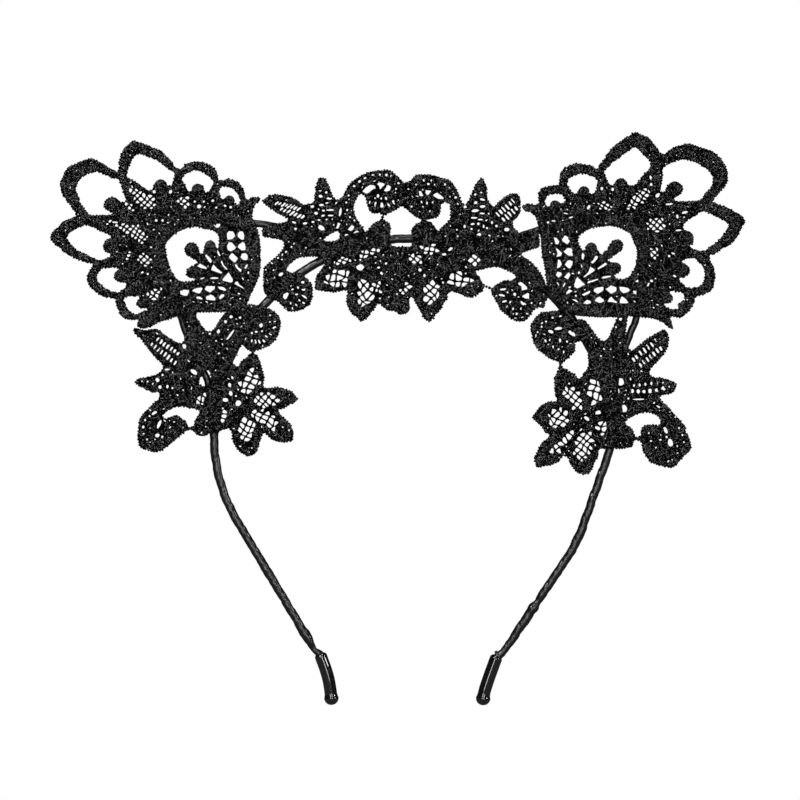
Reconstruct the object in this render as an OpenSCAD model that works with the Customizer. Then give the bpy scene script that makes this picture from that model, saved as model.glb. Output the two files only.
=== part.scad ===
// Cat ears headband: a wrapped wire hair band with two wire ears, dressed with guipure lace.
// Upright as worn: +Z up, the lace faces -Y, +X to the right.
// The origin is on the underside of the band at the top of its crown, where it rests on the hair.

/* [Band] */
// Radius of the crown, to the middle of the wire
crown_r = 63.7; // [62:0.1:66]
// Diameter of the spring wire in the band
band_wire_d = 1.8; // [1.4:0.1:2]
// Diameter of the band over its ribbon
band_d = 2.9; // [2.6:0.1:3]
// Gap between the crown's ends and the arms
flex_gap = 0.35; // [0.3:0.05:0.6]

/* [Arms] */
// Radius of the left arm's bend
left_bend_r = 52.8; // [50:0.1:56]
// Length of the left arm below its bend
left_straight = 48.5; // [45:0.5:52]
// Length of the right arm between its two bends
right_middle = 23.4; // [20:0.2:26]
// Length of the right arm below its second bend
right_straight = 37; // [34:0.5:40]

/* [End caps] */
// Length of an end cap over its bead
cap_length = 16.6; // [15:0.2:18]
// Diameter of the end cap's tube
cap_d = 4.0; // [3.8:0.1:4.4]
// Diameter of the bead at the end cap's tip
bead_d = 4.6; // [4.4:0.1:5.2]

/* [Ears] */
// Diameter of the wire in the ears
ear_wire_d = 1.4; // [1:0.1:1.6]
// Diameter of the ear wire over its ribbon
ear_d = 2.4; // [2.2:0.1:2.5]
// Backward lean of the ears' lace
ear_lean = 5; // [4.6:0.1:5.4]

/* [Lace] */
// Thickness of the lace
lace_t = 1.5; // [1:0.1:1.6]
// Size of one square of the lace chart
chart = 0.32; // [0.318:0.001:0.322]
// Thickness of the sewing thread
thread_t = 0.4; // [0.3:0.05:0.5]

/* [Hidden] */
$fn = 48;

// The lace chart: u counts squares to the right and v counts squares downwards.
// The crown's apex is at u = 412.5, and its underside at v = 242.5.
function cx(u) = (u - 412.5) * chart;
function cz(v) = (242.5 - v) * chart;
function flat(p) = [for (q = p) [cx(q[0]), cz(q[1])]];

band_r = band_d / 2;
core_r = band_wire_d / 2;
crown_z = band_r - crown_r;
ear_r = ear_d / 2;
ear_core_r = ear_wire_d / 2;
// the ear wires' legs lie beside the band on this radius
leg_r = crown_r + band_r + ear_r + 0.08;
// angle of the crown taken up by the clearance at each arm
end_a = asin((band_r + flex_gap) / crown_r);
lace_back = -(band_r + 0.5);
ear_pivot_z = cz(300);
ear_mid_y = lace_back - lace_t - 0.1 - lace_t / 2;

wire_c = [0.42, 0.43, 0.45];
ribbon_c = [0.045, 0.045, 0.05];
cap_c = [0.02, 0.02, 0.025];
lace_c = [0.035, 0.035, 0.04];
thread_c = [0.06, 0.06, 0.065];

// ---------- wire and ribbon runs ----------
module tube_2d(r, ri) {
    if (ri > 0) difference() { circle(r); circle(ri); }
    else circle(r);
}
// part of the crown's circle, from angle a0 to a1, with any profile around radius rr
module crown_sweep(a0, a1, rr) {
    translate([0, 0, crown_z]) rotate([90, 0, 0]) rotate([0, 0, a0])
        rotate_extrude(angle = a1 - a0, $fn = 96) translate([rr, 0]) children();
}

// a swept tube follows points [x, z] in the XZ plane
function side(p, i) = let (d = p[min(i + 1, len(p) - 1)] - p[max(i - 1, 0)]) [-d[1], d[0]] / norm(d);
function rings(p, r, n) = [for (i = [0 : len(p) - 1]) let (q = side(p, i), w = is_list(r) ? r[i] : r) for (k = [0 : n - 1])
    let (a = 360 * (k + 0.5) / n) [p[i][0] + w * cos(a) * q[0], w * sin(a), p[i][1] + w * cos(a) * q[1]]];
module sweep(p, r, n) {
    m = len(p);
    polyhedron(rings(p, r, n), concat(
        [[for (k = [0 : n - 1]) k]],
        [for (i = [0 : m - 2]) for (k = [0 : n - 1]) let (a = i * n + k, b = i * n + (k + 1) % n) [a, a + n, b + n, b]],
        [[for (k = [n - 1 : -1 : 0]) (m - 1) * n + k]]));
}
module sweep_tube(p, r, ri, n) {
    m = len(p);
    o = m * n;
    polyhedron(concat(rings(p, r, n), rings(p, ri, n)), concat(
        [for (i = [0 : m - 2]) for (k = [0 : n - 1]) let (a = i * n + k, b = i * n + (k + 1) % n) [a, a + n, b + n, b]],
        [for (i = [0 : m - 2]) for (k = [0 : n - 1]) let (a = i * n + k + o, b = i * n + (k + 1) % n + o) [b, b + n, a + n, a]],
        [for (k = [0 : n - 1]) let (j = (k + 1) % n) [k, j, j + o, k + o]],
        [for (k = [0 : n - 1]) let (j = (k + 1) % n, e = (m - 1) * n) [e + j, e + k, e + k + o, e + j + o]]));
}

// an arm's run is a list of bends [radius, angle] and straights [0, length]; it starts at the
// crown's end heading down, turns inwards, and a negative radius turns back outwards
function arc_point(q, h, r, t) = q + r * [cos(h) - cos(h + t), -(sin(h + t) - sin(h))];
function run_points(s, q = [0, 0], h = 0, i = 0) = i == len(s) ? [q] :
    s[i][0] == 0 ? concat([for (j = [0 : 5]) q + s[i][1] * j / 6 * [sin(h), -cos(h)]],
        run_points(s, q + s[i][1] * [sin(h), -cos(h)], h, i + 1)) :
    let (t = s[i][0] > 0 ? s[i][1] : -s[i][1], n = ceil(s[i][1] / 4))
        concat([for (j = [0 : n - 1]) arc_point(q, h, s[i][0], t * j / n)],
            run_points(s, arc_point(q, h, s[i][0], t), h + t, i + 1));
function heading(s, i = 0) = i == len(s) ? 0 : (s[i][0] == 0 ? 0 : s[i][0] > 0 ? s[i][1] : -s[i][1]) + heading(s, i + 1);
function last(p) = p[len(p) - 1];

// both runs end with a small outward kick, just above the cap's mouth
left_run = [[left_bend_r, 31], [0, left_straight], [-6, 16.5]];
right_run = [[19.2, 19.5], [0, right_middle], [48, 14.5], [0, right_straight], [-6, 16.5]];
wrap_in_cap = 6;   // length of the ribbon's wrap inside the cap
core_in_cap = 12;  // length of the wire inside the cap

module at_left() { translate([-crown_r, 0, crown_z]) children(); }
module at_right() { translate([crown_r, 0, crown_z]) mirror([1, 0, 0]) children(); }

// an arm starts half a millimetre above its flex axis, clear of the crown's end
function arm_path(s, extra) = concat([[0, 0.5]], run_points(concat(s, [[0, extra]])));
module arm_wire(s) { color(wire_c) sweep(arm_path(s, core_in_cap), core_r, 12); }
module arm_ribbon(s) { color(ribbon_c) sweep_tube(arm_path(s, wrap_in_cap), band_r, core_r + 0.05, 12); }
module end_cap(s) {
    q = last(run_points(s));
    l = cap_length - bead_d / 2;
    color(cap_c) translate([q[0], 0, q[1]]) rotate([0, -heading(s), 0]) difference() {
        union() {
            translate([0, 0, -l]) cylinder(d = cap_d, h = l);
            translate([0, 0, -l]) sphere(d = bead_d);
        }
        translate([0, 0, -wrap_in_cap - 0.2]) cylinder(r = band_r + 0.05, h = wrap_in_cap + 1);
        translate([0, 0, -core_in_cap - 0.2]) cylinder(r = core_r + 0.05, h = core_in_cap + 1);
    }
}
module crown_wire() { color(wire_c) crown_sweep(end_a, 180 - end_a, crown_r) circle(core_r); }
module crown_ribbon() { color(ribbon_c) crown_sweep(end_a, 180 - end_a, crown_r) tube_2d(band_r, core_r + 0.02); }
module left_arm_wire() { at_left() arm_wire(left_run); }
module right_arm_wire() { at_right() arm_wire(right_run); }
module left_arm_ribbon() { at_left() arm_ribbon(left_run); }
module right_arm_ribbon() { at_right() arm_ribbon(right_run); }
module left_end_cap() { at_left() end_cap(left_run); }
module right_end_cap() { at_right() end_cap(right_run); }

// ---------- ear wires ----------
// a point on the ear wire's leg, at angle a of the crown, in chart squares
function leg(a) = [412.5 + leg_r / chart * cos(a), 242.5 - (crown_z + leg_r * sin(a)) / chart];
LEFT_EAR = [leg(103), leg(106), leg(109), leg(112), [323, 247], [312, 243], [300, 236], [284, 228],
            [264, 224], [240, 221.5], [215, 220], [192, 222], [173, 230], [161, 244], [159, 263],
            [166, 285], [176, 306], [184, 328], [190, 346], [198, 362], [205, 376], [208.4, 387],
            leg(169), leg(172), leg(175)];
RIGHT_EAR = [leg(77), leg(74), leg(71), leg(68), [501, 246.5], [512, 241], [525, 234], [545, 228],
             [566, 224], [588, 220], [610, 218.5], [629, 221], [641, 231], [645, 248], [644, 268],
             [641, 290], [638, 314], [632, 331], [626, 346], [620.5, 361], [616.9, 375], [615.6, 387],
             leg(11), leg(8), leg(5)];
function cat(a, b, c, d, t) = 0.5 * (2 * b + (c - a) * t + (2 * a - 5 * b + 4 * c - d) * t * t
                              + (3 * b - a - 3 * c + d) * t * t * t);
function curve(p, k) = [for (i = [0 : len(p) - 2]) for (j = [0 : k - 1])
    cat(p[max(i - 1, 0)], p[i], p[i + 1], p[min(i + 2, len(p) - 1)], j / k), p[len(p) - 1]];
module left_ear_wire() { color(wire_c) sweep(flat(curve(LEFT_EAR, 3)), ear_core_r, 8); }
module right_ear_wire() { color(wire_c) sweep(flat(curve(RIGHT_EAR, 3)), ear_core_r, 8); }
module left_ear_ribbon() { color(ribbon_c) sweep_tube(flat(curve(LEFT_EAR, 3)), ear_r, ear_core_r + 0.05, 10); }
module right_ear_ribbon() { color(ribbon_c) sweep_tube(flat(curve(RIGHT_EAR, 3)), ear_r, ear_core_r + 0.05, 10); }

// ---------- thread bindings that tie the ear wires' legs to the band ----------
module binding(a0, a1) {
    w = leg_r - crown_r;
    color(thread_c) crown_sweep(a0, a1, crown_r) difference() {
        union() {
            circle(band_r + 0.4);
            translate([w, 0]) circle(ear_r + 0.4);
            translate([0, -ear_r - 0.3]) square([w, 2 * ear_r + 0.6]);
        }
        circle(band_r + 0.05);
        translate([w, 0]) circle(ear_r + 0.12);
    }
}
module left_inner_binding() { binding(104.5, 109); }
module left_outer_binding() { binding(169.5, 174); }
module right_inner_binding() { binding(71, 75.5); }
module right_outer_binding() { binding(6, 10.5); }

// ---------- lace ----------
// round openings of the lace: the points are [u, v, radius]
module cells(k) { for (q = k) translate([cx(q[0]), cz(q[1])]) circle(q[2] * chart); }
// a sheet of lace, standing in the XZ plane, with its back at y
module sheet_at(y, t) { translate([0, y, 0]) rotate([90, 0, 0]) linear_extrude(t) children(); }
// an ear's lace leans back about its lower edge
module lean() {
    translate([0, ear_mid_y, ear_pivot_z]) rotate([-ear_lean, 0, 0]) translate([0, -ear_mid_y, -ear_pivot_z]) children();
}

LEFT_EAR_LACE = [[117, 170], [118, 166], [118, 160], [120, 153], [123, 147], [127, 143], [131, 139], [137, 140],
    [144, 142], [152, 146], [160, 149], [166, 155], [171, 160], [174, 165], [178, 168], [182, 167], [184, 163],
    [190, 161], [198, 160], [206, 162], [212, 165], [216, 170], [218, 175], [219, 180], [223, 179], [230, 178],
    [236, 180], [241, 184], [244, 190], [246, 198], [252, 197], [259, 196], [260, 200], [255, 204], [253, 211],
    [253, 218], [257, 228], [260, 238], [261, 255], [261, 268], [259, 278], [255, 288], [250, 298], [247, 306],
    [236, 312], [222, 313], [200, 313], [190, 314], [180, 316], [170, 320], [160, 323], [150, 328], [141, 329],
    [137, 325], [139, 320], [134, 321], [126, 319], [121, 315], [118, 309], [116, 303], [116, 299], [110, 298],
    [104, 297], [97, 293], [91, 288], [88, 283], [87, 277], [89, 271], [93, 265], [88, 263], [79, 260], [72, 257],
    [64, 252], [58, 247], [52, 242], [50, 237], [53, 230], [58, 226], [63, 221], [70, 218], [75, 215], [73, 210],
    [68, 203], [63, 196], [60, 190], [59, 183], [61, 177], [64, 170], [68, 165], [75, 162], [82, 159], [90, 157],
    [98, 160], [105, 164], [111, 168]];
LEFT_EAR_HOLES = [
    [[79, 180], [84, 175], [91, 172], [97, 171], [101, 173], [107, 175], [113, 178], [117, 178], [119, 182],
     [122, 190], [125, 199], [121, 201], [117, 199], [112, 196], [106, 198], [103, 204], [106, 210], [112, 213],
     [105, 214], [97, 214], [90, 214], [85, 209], [81, 203], [78, 196], [76, 188]],
    [[127, 176], [127, 170], [130, 163], [133, 157], [137, 153], [142, 154], [149, 156], [157, 160], [163, 164],
     [169, 169], [174, 173], [172, 180], [171, 184], [167, 184], [163, 180], [158, 179], [153, 183], [152, 187],
     [148, 189], [140, 184], [133, 179]],
    [[182, 178], [186, 173], [192, 170], [197, 169], [203, 172], [209, 176], [213, 182], [209, 189], [205, 191],
     [203, 185], [198, 183], [193, 185], [191, 190], [188, 190], [185, 184]],
    [[219, 189], [224, 186], [230, 187], [236, 191], [239, 197], [239, 203], [236, 203], [233, 198], [229, 195],
     [225, 197], [221, 197]],
    [[67, 237], [72, 231], [78, 228], [86, 225], [92, 227], [100, 231], [107, 234], [111, 237], [106, 239],
     [103, 245], [104, 251], [109, 254], [112, 254], [108, 257], [101, 260], [94, 258], [86, 254], [78, 250],
     [72, 245]],
    [[97, 279], [99, 273], [103, 269], [111, 268], [119, 269], [115, 272], [114, 277], [117, 282], [122, 283],
     [127, 284], [124, 289], [119, 292], [113, 292], [107, 289], [102, 285]],
    [[125, 299], [130, 297], [139, 297], [137, 302], [137, 306], [141, 309], [148, 309], [143, 312], [136, 314],
     [131, 312], [127, 307]],
    [[166, 246], [168, 239], [173, 235], [180, 231], [188, 228], [196, 227], [205, 229], [213, 231], [218, 236],
     [218, 247], [216, 247], [214, 242], [210, 240], [206, 242], [204, 247], [203, 253], [200, 252], [197, 245],
     [191, 242], [185, 246], [184, 251], [188, 256], [195, 260], [197, 263], [192, 266], [187, 269], [186, 274],
     [189, 278], [196, 279], [190, 281], [181, 281], [176, 277], [172, 270], [169, 262], [167, 254]]];
LEFT_EAR_CELLS = [[230, 235, 3.5], [241, 235, 3.5], [231, 246, 4], [242, 246, 3.5], [233, 258, 4], [244, 257, 3.5],
    [228, 277, 4], [184, 292, 4], [197, 290, 4], [210, 289, 4], [211, 298, 3.5], [217, 225, 2.5]];

RIGHT_EAR_LACE = [[538, 203], [538, 195], [541, 188], [549, 185], [557, 184], [559, 182], [560, 174], [564, 167],
    [570, 164], [576, 162], [586, 163], [594, 165], [597, 168], [600, 163], [603, 160], [606, 155], [612, 147],
    [618, 142], [624, 137], [631, 133], [637, 130], [643, 133], [650, 136], [654, 141], [659, 147], [663, 153],
    [668, 150], [674, 146], [682, 143], [691, 142], [700, 145], [710, 148], [718, 153], [724, 160], [728, 168],
    [729, 176], [727, 184], [722, 190], [717, 196], [713, 201], [718, 203], [726, 206], [734, 210], [742, 215],
    [746, 221], [742, 228], [738, 236], [731, 244], [722, 249], [714, 254], [709, 257], [713, 265], [715, 275],
    [714, 285], [710, 292], [702, 295], [694, 298], [693, 305], [688, 312], [681, 318], [675, 318], [670, 317],
    [671, 324], [673, 330], [666, 326], [658, 321], [650, 319], [641, 318], [630, 317], [616, 318], [600, 318],
    [584, 317], [576, 316], [568, 313], [560, 307], [553, 299], [547, 290], [545, 274], [543, 262], [541, 250],
    [540, 238], [539, 228], [536, 219], [531, 212], [524, 210], [522, 205], [528, 203]];
RIGHT_EAR_HOLES = [
    [[546, 202], [546, 198], [550, 194], [556, 193], [562, 194], [565, 199], [563, 202], [558, 201], [552, 201],
     [549, 206]],
    [[568, 184], [570, 177], [577, 174], [584, 173], [591, 175], [597, 179], [597, 186], [594, 192], [590, 192],
     [588, 188], [583, 186], [578, 189], [576, 193], [572, 190]],
    [[605, 171], [611, 164], [618, 158], [626, 152], [634, 147], [637, 147], [643, 153], [649, 159], [651, 165],
     [645, 172], [640, 178], [636, 183], [630, 184], [626, 179], [621, 177], [616, 180], [613, 184], [609, 182],
     [607, 177]],
    [[664, 168], [669, 164], [677, 160], [686, 159], [694, 161], [702, 165], [709, 170], [713, 176], [712, 184],
     [708, 190], [703, 196], [700, 199], [690, 200], [678, 200], [675, 198], [682, 193], [684, 187], [680, 182],
     [674, 181], [668, 184], [665, 190], [661, 190], [663, 182], [664, 175]],
    [[684, 225], [690, 219], [697, 215], [703, 211], [711, 214], [721, 219], [728, 223], [727, 229], [722, 236],
     [716, 242], [709, 247], [702, 251], [695, 249], [690, 246], [694, 243], [693, 236], [688, 231], [685, 229]],
    [[682, 262], [688, 259], [695, 259], [700, 264], [704, 270], [704, 277], [702, 284], [697, 287], [690, 288],
     [685, 286], [680, 281], [679, 279], [686, 277], [690, 271], [687, 265]],
    [[670, 292], [677, 292], [682, 294], [684, 299], [680, 303], [678, 304], [677, 309], [671, 309], [665, 306],
     [665, 304], [670, 303], [673, 298]],
    [[579, 237], [585, 232], [592, 228], [600, 227], [608, 226], [616, 227], [624, 230], [630, 234], [633, 241],
     [636, 250], [636, 258], [634, 267], [631, 273], [627, 277], [620, 279], [614, 276], [619, 273], [621, 269],
     [619, 264], [613, 262], [608, 260], [614, 256], [620, 251], [624, 245], [622, 241], [617, 239], [612, 241],
     [609, 246], [605, 251], [601, 254], [598, 250], [596, 245], [591, 242], [586, 246], [584, 250], [581, 247],
     [579, 242]]];
RIGHT_EAR_CELLS = [[556, 241, 3], [567, 240, 4], [558, 252, 3.5], [569, 252, 4], [559, 263, 4], [569, 263, 4],
    [558, 274, 3], [568, 275, 3.5], [577, 283, 4], [597, 291, 4], [610, 290, 4], [623, 290, 4], [636, 293, 4],
    [599, 301, 3], [611, 300, 3], [622, 300, 3], [592, 258, 3], [588, 272, 3]];

CROWN = [[262, 201], [265, 198], [270, 195], [277, 194], [284, 195], [292, 197], [299, 201], [304, 204], [308, 203],
    [313, 202], [314, 197], [315, 190], [316, 184], [318, 178], [321, 177], [325, 178], [328, 184], [331, 190],
    [334, 197], [338, 199], [341, 198], [343, 195], [347, 187], [350, 183], [356, 178], [363, 174], [371, 171],
    [380, 170], [390, 170], [396, 174], [401, 179], [404, 182], [410, 180], [414, 176], [419, 174], [428, 174],
    [437, 176], [444, 178], [450, 180], [455, 186], [459, 193], [462, 201], [465, 204], [468, 201], [470, 196],
    [473, 189], [477, 182], [480, 178], [483, 178], [485, 182], [487, 190], [488, 198], [490, 203], [494, 206],
    [497, 203], [503, 198], [509, 194], [515, 193], [519, 195], [521, 200], [521, 206], [521, 212], [518, 217],
    [514, 221], [513, 226], [516, 229], [520, 233], [528, 231], [536, 229], [539, 232], [540, 246], [537, 248],
    [531, 250], [522, 254], [527, 258], [532, 262], [537, 268], [542, 274], [545, 281], [546, 290], [548, 297],
    [546, 302], [544, 308], [538, 308], [533, 312], [529, 318], [523, 322], [514, 321], [507, 316], [501, 311],
    [497, 304], [493, 297], [492, 292], [489, 289], [485, 287], [484, 290], [481, 293], [476, 296], [470, 298],
    [463, 296], [456, 293], [451, 292], [448, 295], [448, 299], [444, 304], [441, 310], [437, 314], [434, 318],
    [430, 322], [424, 319], [421, 314], [419, 309], [416, 305], [414, 301], [412, 297], [410, 301], [410, 310],
    [408, 313], [401, 315], [395, 312], [388, 311], [383, 307], [378, 304], [376, 308], [372, 312], [369, 317],
    [361, 322], [357, 318], [352, 315], [348, 308], [346, 300], [347, 292], [345, 291], [338, 292], [334, 293],
    [328, 292], [318, 291], [315, 289], [315, 280], [317, 274], [321, 269], [324, 264], [321, 258], [310, 257],
    [301, 258], [293, 262], [287, 269], [290, 272], [298, 272], [304, 275], [309, 280], [313, 286], [313, 297],
    [311, 303], [306, 308], [299, 311], [292, 312], [285, 310], [281, 305], [274, 300], [267, 297], [263, 290],
    [263, 280], [263, 268], [266, 265], [270, 261], [275, 257], [280, 252], [283, 247], [283, 242], [276, 239],
    [268, 238], [263, 237], [262, 233], [262, 229], [266, 226], [272, 224], [283, 222], [288, 220], [284, 217],
    [276, 213], [268, 207], [263, 203]];
CROWN_HOLES = [
    [[360, 195], [365, 197], [366, 203], [368, 208], [370, 212], [375, 214], [381, 214], [381, 218], [378, 221],
     [372, 224], [366, 231], [363, 227], [358, 220], [355, 213], [354, 207], [356, 201]],
    [[384, 217], [388, 214], [395, 211], [401, 207], [405, 209], [410, 213], [417, 218], [421, 221], [415, 224],
     [411, 230], [412, 240], [410, 246], [401, 246], [391, 244], [391, 228], [389, 222], [385, 220]],
    [[449, 204], [450, 212], [449, 219], [446, 223], [441, 227], [438, 231], [435, 226], [430, 222], [426, 220],
     [432, 219], [438, 217], [441, 212], [441, 206], [445, 203]],
    [[476, 272], [482, 270], [490, 268], [500, 268], [509, 272], [515, 276], [512, 280], [505, 280], [498, 283],
     [494, 286], [492, 288], [489, 286], [486, 285], [483, 283], [480, 277]],
    [[324, 240], [330, 235], [335, 232], [339, 233], [338, 239], [331, 241]]];
CROWN_CELLS = [[369, 188, 3], [381, 186, 3], [388, 189, 2], [420, 193, 2.5], [428, 192, 3], [438, 196, 3.5], [361, 266, 4],
    [351, 227, 3], [346, 236, 3.5], [355, 234, 3.5], [322, 228, 4], [431, 248, 3], [411, 258, 3], [331, 280, 4],
    [343, 282, 4], [363, 290, 4], [363, 303, 3], [431, 289, 4], [431, 298, 4], [452, 281, 3.5], [461, 281, 3.5]];

LEFT_SIDE = [[133, 331], [135, 328], [142, 330], [150, 329], [158, 329], [163, 333], [168, 337], [174, 340],
    [179, 343], [183, 341], [185, 334], [185, 327], [182, 320], [182, 312], [188, 308], [196, 309], [197, 317],
    [200, 322], [204, 328], [209, 331], [214, 328], [219, 320], [224, 314], [229, 308], [240, 305], [252, 304],
    [262, 306], [271, 309], [278, 314], [281, 320], [281, 326], [279, 334], [275, 341], [268, 347], [260, 350],
    [254, 352], [258, 356], [261, 362], [263, 370], [265, 378], [264, 387], [272, 387], [280, 387], [287, 389],
    [293, 392], [296, 396], [298, 399], [295, 402], [290, 405], [284, 409], [278, 411], [283, 416], [287, 420],
    [291, 424], [293, 430], [294, 434], [293, 440], [286, 443], [278, 442], [272, 440], [267, 436], [264, 433],
    [262, 437], [260, 443], [258, 450], [255, 454], [248, 457], [242, 454], [237, 450], [234, 445], [232, 440],
    [231, 433], [228, 429], [222, 431], [216, 433], [212, 433], [206, 436], [200, 436], [195, 433], [192, 431],
    [189, 430], [183, 434], [177, 439], [170, 445], [165, 449], [159, 452], [152, 452], [146, 450], [140, 448],
    [138, 443], [137, 437], [138, 428], [139, 420], [143, 413], [148, 408], [153, 403], [159, 399], [159, 393],
    [153, 393], [147, 390], [140, 387], [135, 383], [138, 379], [145, 377], [152, 375], [158, 373], [161, 370],
    [163, 366], [159, 362], [154, 357], [150, 352], [146, 347], [142, 341], [138, 337]];
LEFT_SIDE_HOLES = [
    [[163, 416], [168, 411], [175, 408], [183, 407], [191, 409], [199, 411], [197, 416], [194, 421], [193, 426],
     [189, 427], [187, 425], [185, 421], [182, 418], [177, 415], [170, 416], [166, 418]],
    [[233, 359], [237, 353], [240, 347], [243, 346], [247, 350], [251, 352], [248, 356], [243, 359], [240, 363],
     [237, 366], [234, 363]],
    [[201, 385], [200, 379], [204, 374], [207, 370], [210, 374], [210, 381], [209, 385]]];
LEFT_SIDE_CELLS = [[194, 371, 3.5], [158, 425, 3.5], [205, 394, 3], [198, 399, 3], [238, 403, 4], [223, 418, 3.5],
    [249, 371, 3], [252, 379.5, 3.5], [244, 386, 4], [253, 388, 3], [263, 395, 3.5], [271, 400, 3.5], [261, 417, 3],
    [266, 424, 3.5], [275, 424, 3.5], [246, 424, 3], [243, 433, 4], [250, 439, 2.5]];

RIGHT_SIDE = [[530, 326], [532, 322], [536, 316], [542, 312], [550, 311], [560, 310], [566, 314], [574, 319],
    [583, 319], [588, 323], [593, 330], [598, 337], [604, 341], [608, 337], [611, 330], [614, 324], [616, 319],
    [618, 313], [626, 313], [628, 318], [626, 330], [627, 340], [628, 346], [632, 350], [640, 344], [650, 336],
    [660, 331], [663, 329], [667, 332], [669, 337], [669, 343], [667, 349], [663, 356], [658, 362], [652, 368],
    [650, 371], [651, 375], [656, 377], [664, 378], [670, 380], [675, 382], [677, 385], [675, 391], [669, 394],
    [662, 396], [660, 398], [664, 403], [670, 408], [675, 414], [680, 419], [685, 426], [687, 433], [690, 440],
    [692, 447], [690, 451], [685, 456], [680, 461], [676, 466], [670, 468], [663, 467], [656, 465], [650, 462],
    [645, 456], [642, 450], [641, 443], [638, 441], [635, 440], [633, 446], [629, 448], [622, 449], [614, 449],
    [606, 449], [600, 449], [599, 453], [598, 458], [595, 463], [593, 468], [590, 473], [584, 475], [577, 473],
    [573, 469], [570, 464], [567, 458], [563, 457], [560, 461], [555, 464], [549, 466], [543, 467], [537, 468],
    [535, 463], [534, 458], [537, 451], [539, 446], [543, 441], [548, 437], [549, 435], [545, 433], [541, 427],
    [537, 423], [532, 418], [535, 412], [539, 407], [544, 403], [549, 401], [556, 401], [555, 396], [554, 390],
    [554, 384], [554, 378], [556, 373], [558, 369], [559, 367], [558, 362], [550, 359], [543, 354], [537, 349],
    [533, 342], [531, 334]];
RIGHT_SIDE_HOLES = [
    [[575, 345], [577, 342], [582, 342], [586, 346], [587, 353], [588, 362], [587, 368], [583, 373], [579, 379],
     [575, 374], [570, 371], [565, 369], [562, 365], [568, 359], [573, 354], [576, 350]],
    [[626, 423], [630, 418], [637, 415], [645, 413], [652, 414], [658, 417], [660, 421], [658, 425], [652, 424],
     [645, 425], [641, 429], [640, 435], [637, 437], [635, 434], [632, 428]]];
RIGHT_SIDE_CELLS = [[665, 431, 3], [670, 442, 3], [621, 382, 3.5], [624, 408, 4], [590, 390, 3.5], [598, 385, 3], [594, 398, 3.5],
    [567, 389, 3.5], [571, 397, 3], [550, 424, 3], [556, 415, 3.5], [562, 422, 3.5], [550, 451, 3.5], [558, 447, 3.5],
    [579, 443, 3.5], [587, 449, 3.5], [580, 455, 3.5], [578, 433, 3]];

module lace_2d(body, holes, c) {
    difference() {
        polygon(flat(body));
        for (h = holes) polygon(flat(h));
        cells(c);
    }
}
module ear_lace(body, holes, c) {
    color(lace_c) lean() sheet_at(ear_mid_y + lace_t / 2, lace_t) lace_2d(body, holes, c);
}
module band_lace(body, holes, c) {
    color(lace_c) sheet_at(lace_back, lace_t) lace_2d(body, holes, c);
}
module left_ear_lace() { ear_lace(LEFT_EAR_LACE, LEFT_EAR_HOLES, LEFT_EAR_CELLS); }
module right_ear_lace() { ear_lace(RIGHT_EAR_LACE, RIGHT_EAR_HOLES, RIGHT_EAR_CELLS); }
module crown_lace() { band_lace(CROWN, CROWN_HOLES, CROWN_CELLS); }
module left_side_lace() { band_lace(LEFT_SIDE, LEFT_SIDE_HOLES, LEFT_SIDE_CELLS); }
module right_side_lace() { band_lace(RIGHT_SIDE, RIGHT_SIDE_HOLES, RIGHT_SIDE_CELLS); }

// ---------- tacking stitches ----------
// a loop of thread round a wire of radius r at [x, z] and over the lace's face at y = front; a is the wire's normal
module stitch(x, z, a, r, front) {
    i = r + 0.03;
    o = i + thread_t;
    color(thread_c) translate([x, 0, z]) rotate([0, -a, 0]) translate([0, 0, -thread_t / 2])
        linear_extrude(thread_t) difference() {
            union() { circle(o); translate([-o, front - thread_t]) square([2 * o, thread_t - front]); }
            circle(i);
            translate([-i, front]) square([2 * i, -front]);
        }
}
module band_stitches(angles) {
    for (a = angles) stitch(crown_r * cos(a), crown_z + crown_r * sin(a), a, band_r, lace_back - lace_t);
}
// the ears' stitches are at [u, v, angle of the wire's normal]
function ear_front(v) = ear_mid_y - lace_t / 2 / cos(ear_lean) + (cz(v) - ear_pivot_z) * tan(ear_lean);
module ear_stitches(s) {
    for (q = s) stitch(cx(q[0]), cz(q[1]), q[2], ear_r, ear_front(q[1]));
}
module crown_stitches() { band_stitches([98, 86, 80, 62.5, 58]); }
module left_side_stitches() { band_stitches([150, 155, 161, 166]); }
module right_side_stitches() { band_stitches([30, 24, 17]); }
module left_ear_stitches() {
    ear_stitches([[240, 221.5, 92], [215, 220, 90], [192, 222, 100], [173, 230, 125], [160, 253, 175], [163, 275, 197], [172, 297, 205]]);
}
module right_ear_stitches() {
    ear_stitches([[566, 224, 80], [588, 220, 83], [610, 218.5, 90], [629, 221, 65], [641, 231, 35], [645, 257, 0], [641, 290, -6]]);
}

crown_wire();
left_arm_wire();
right_arm_wire();
crown_ribbon();
left_arm_ribbon();
right_arm_ribbon();
left_end_cap();
right_end_cap();
left_ear_wire();
right_ear_wire();
left_ear_ribbon();
right_ear_ribbon();
left_inner_binding();
left_outer_binding();
right_inner_binding();
right_outer_binding();
left_ear_lace();
right_ear_lace();
crown_lace();
left_side_lace();
right_side_lace();
left_ear_stitches();
right_ear_stitches();
crown_stitches();
left_side_stitches();
right_side_stitches();
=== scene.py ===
import bpy
import math
import numpy as np
from mathutils import Matrix, Vector


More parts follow.
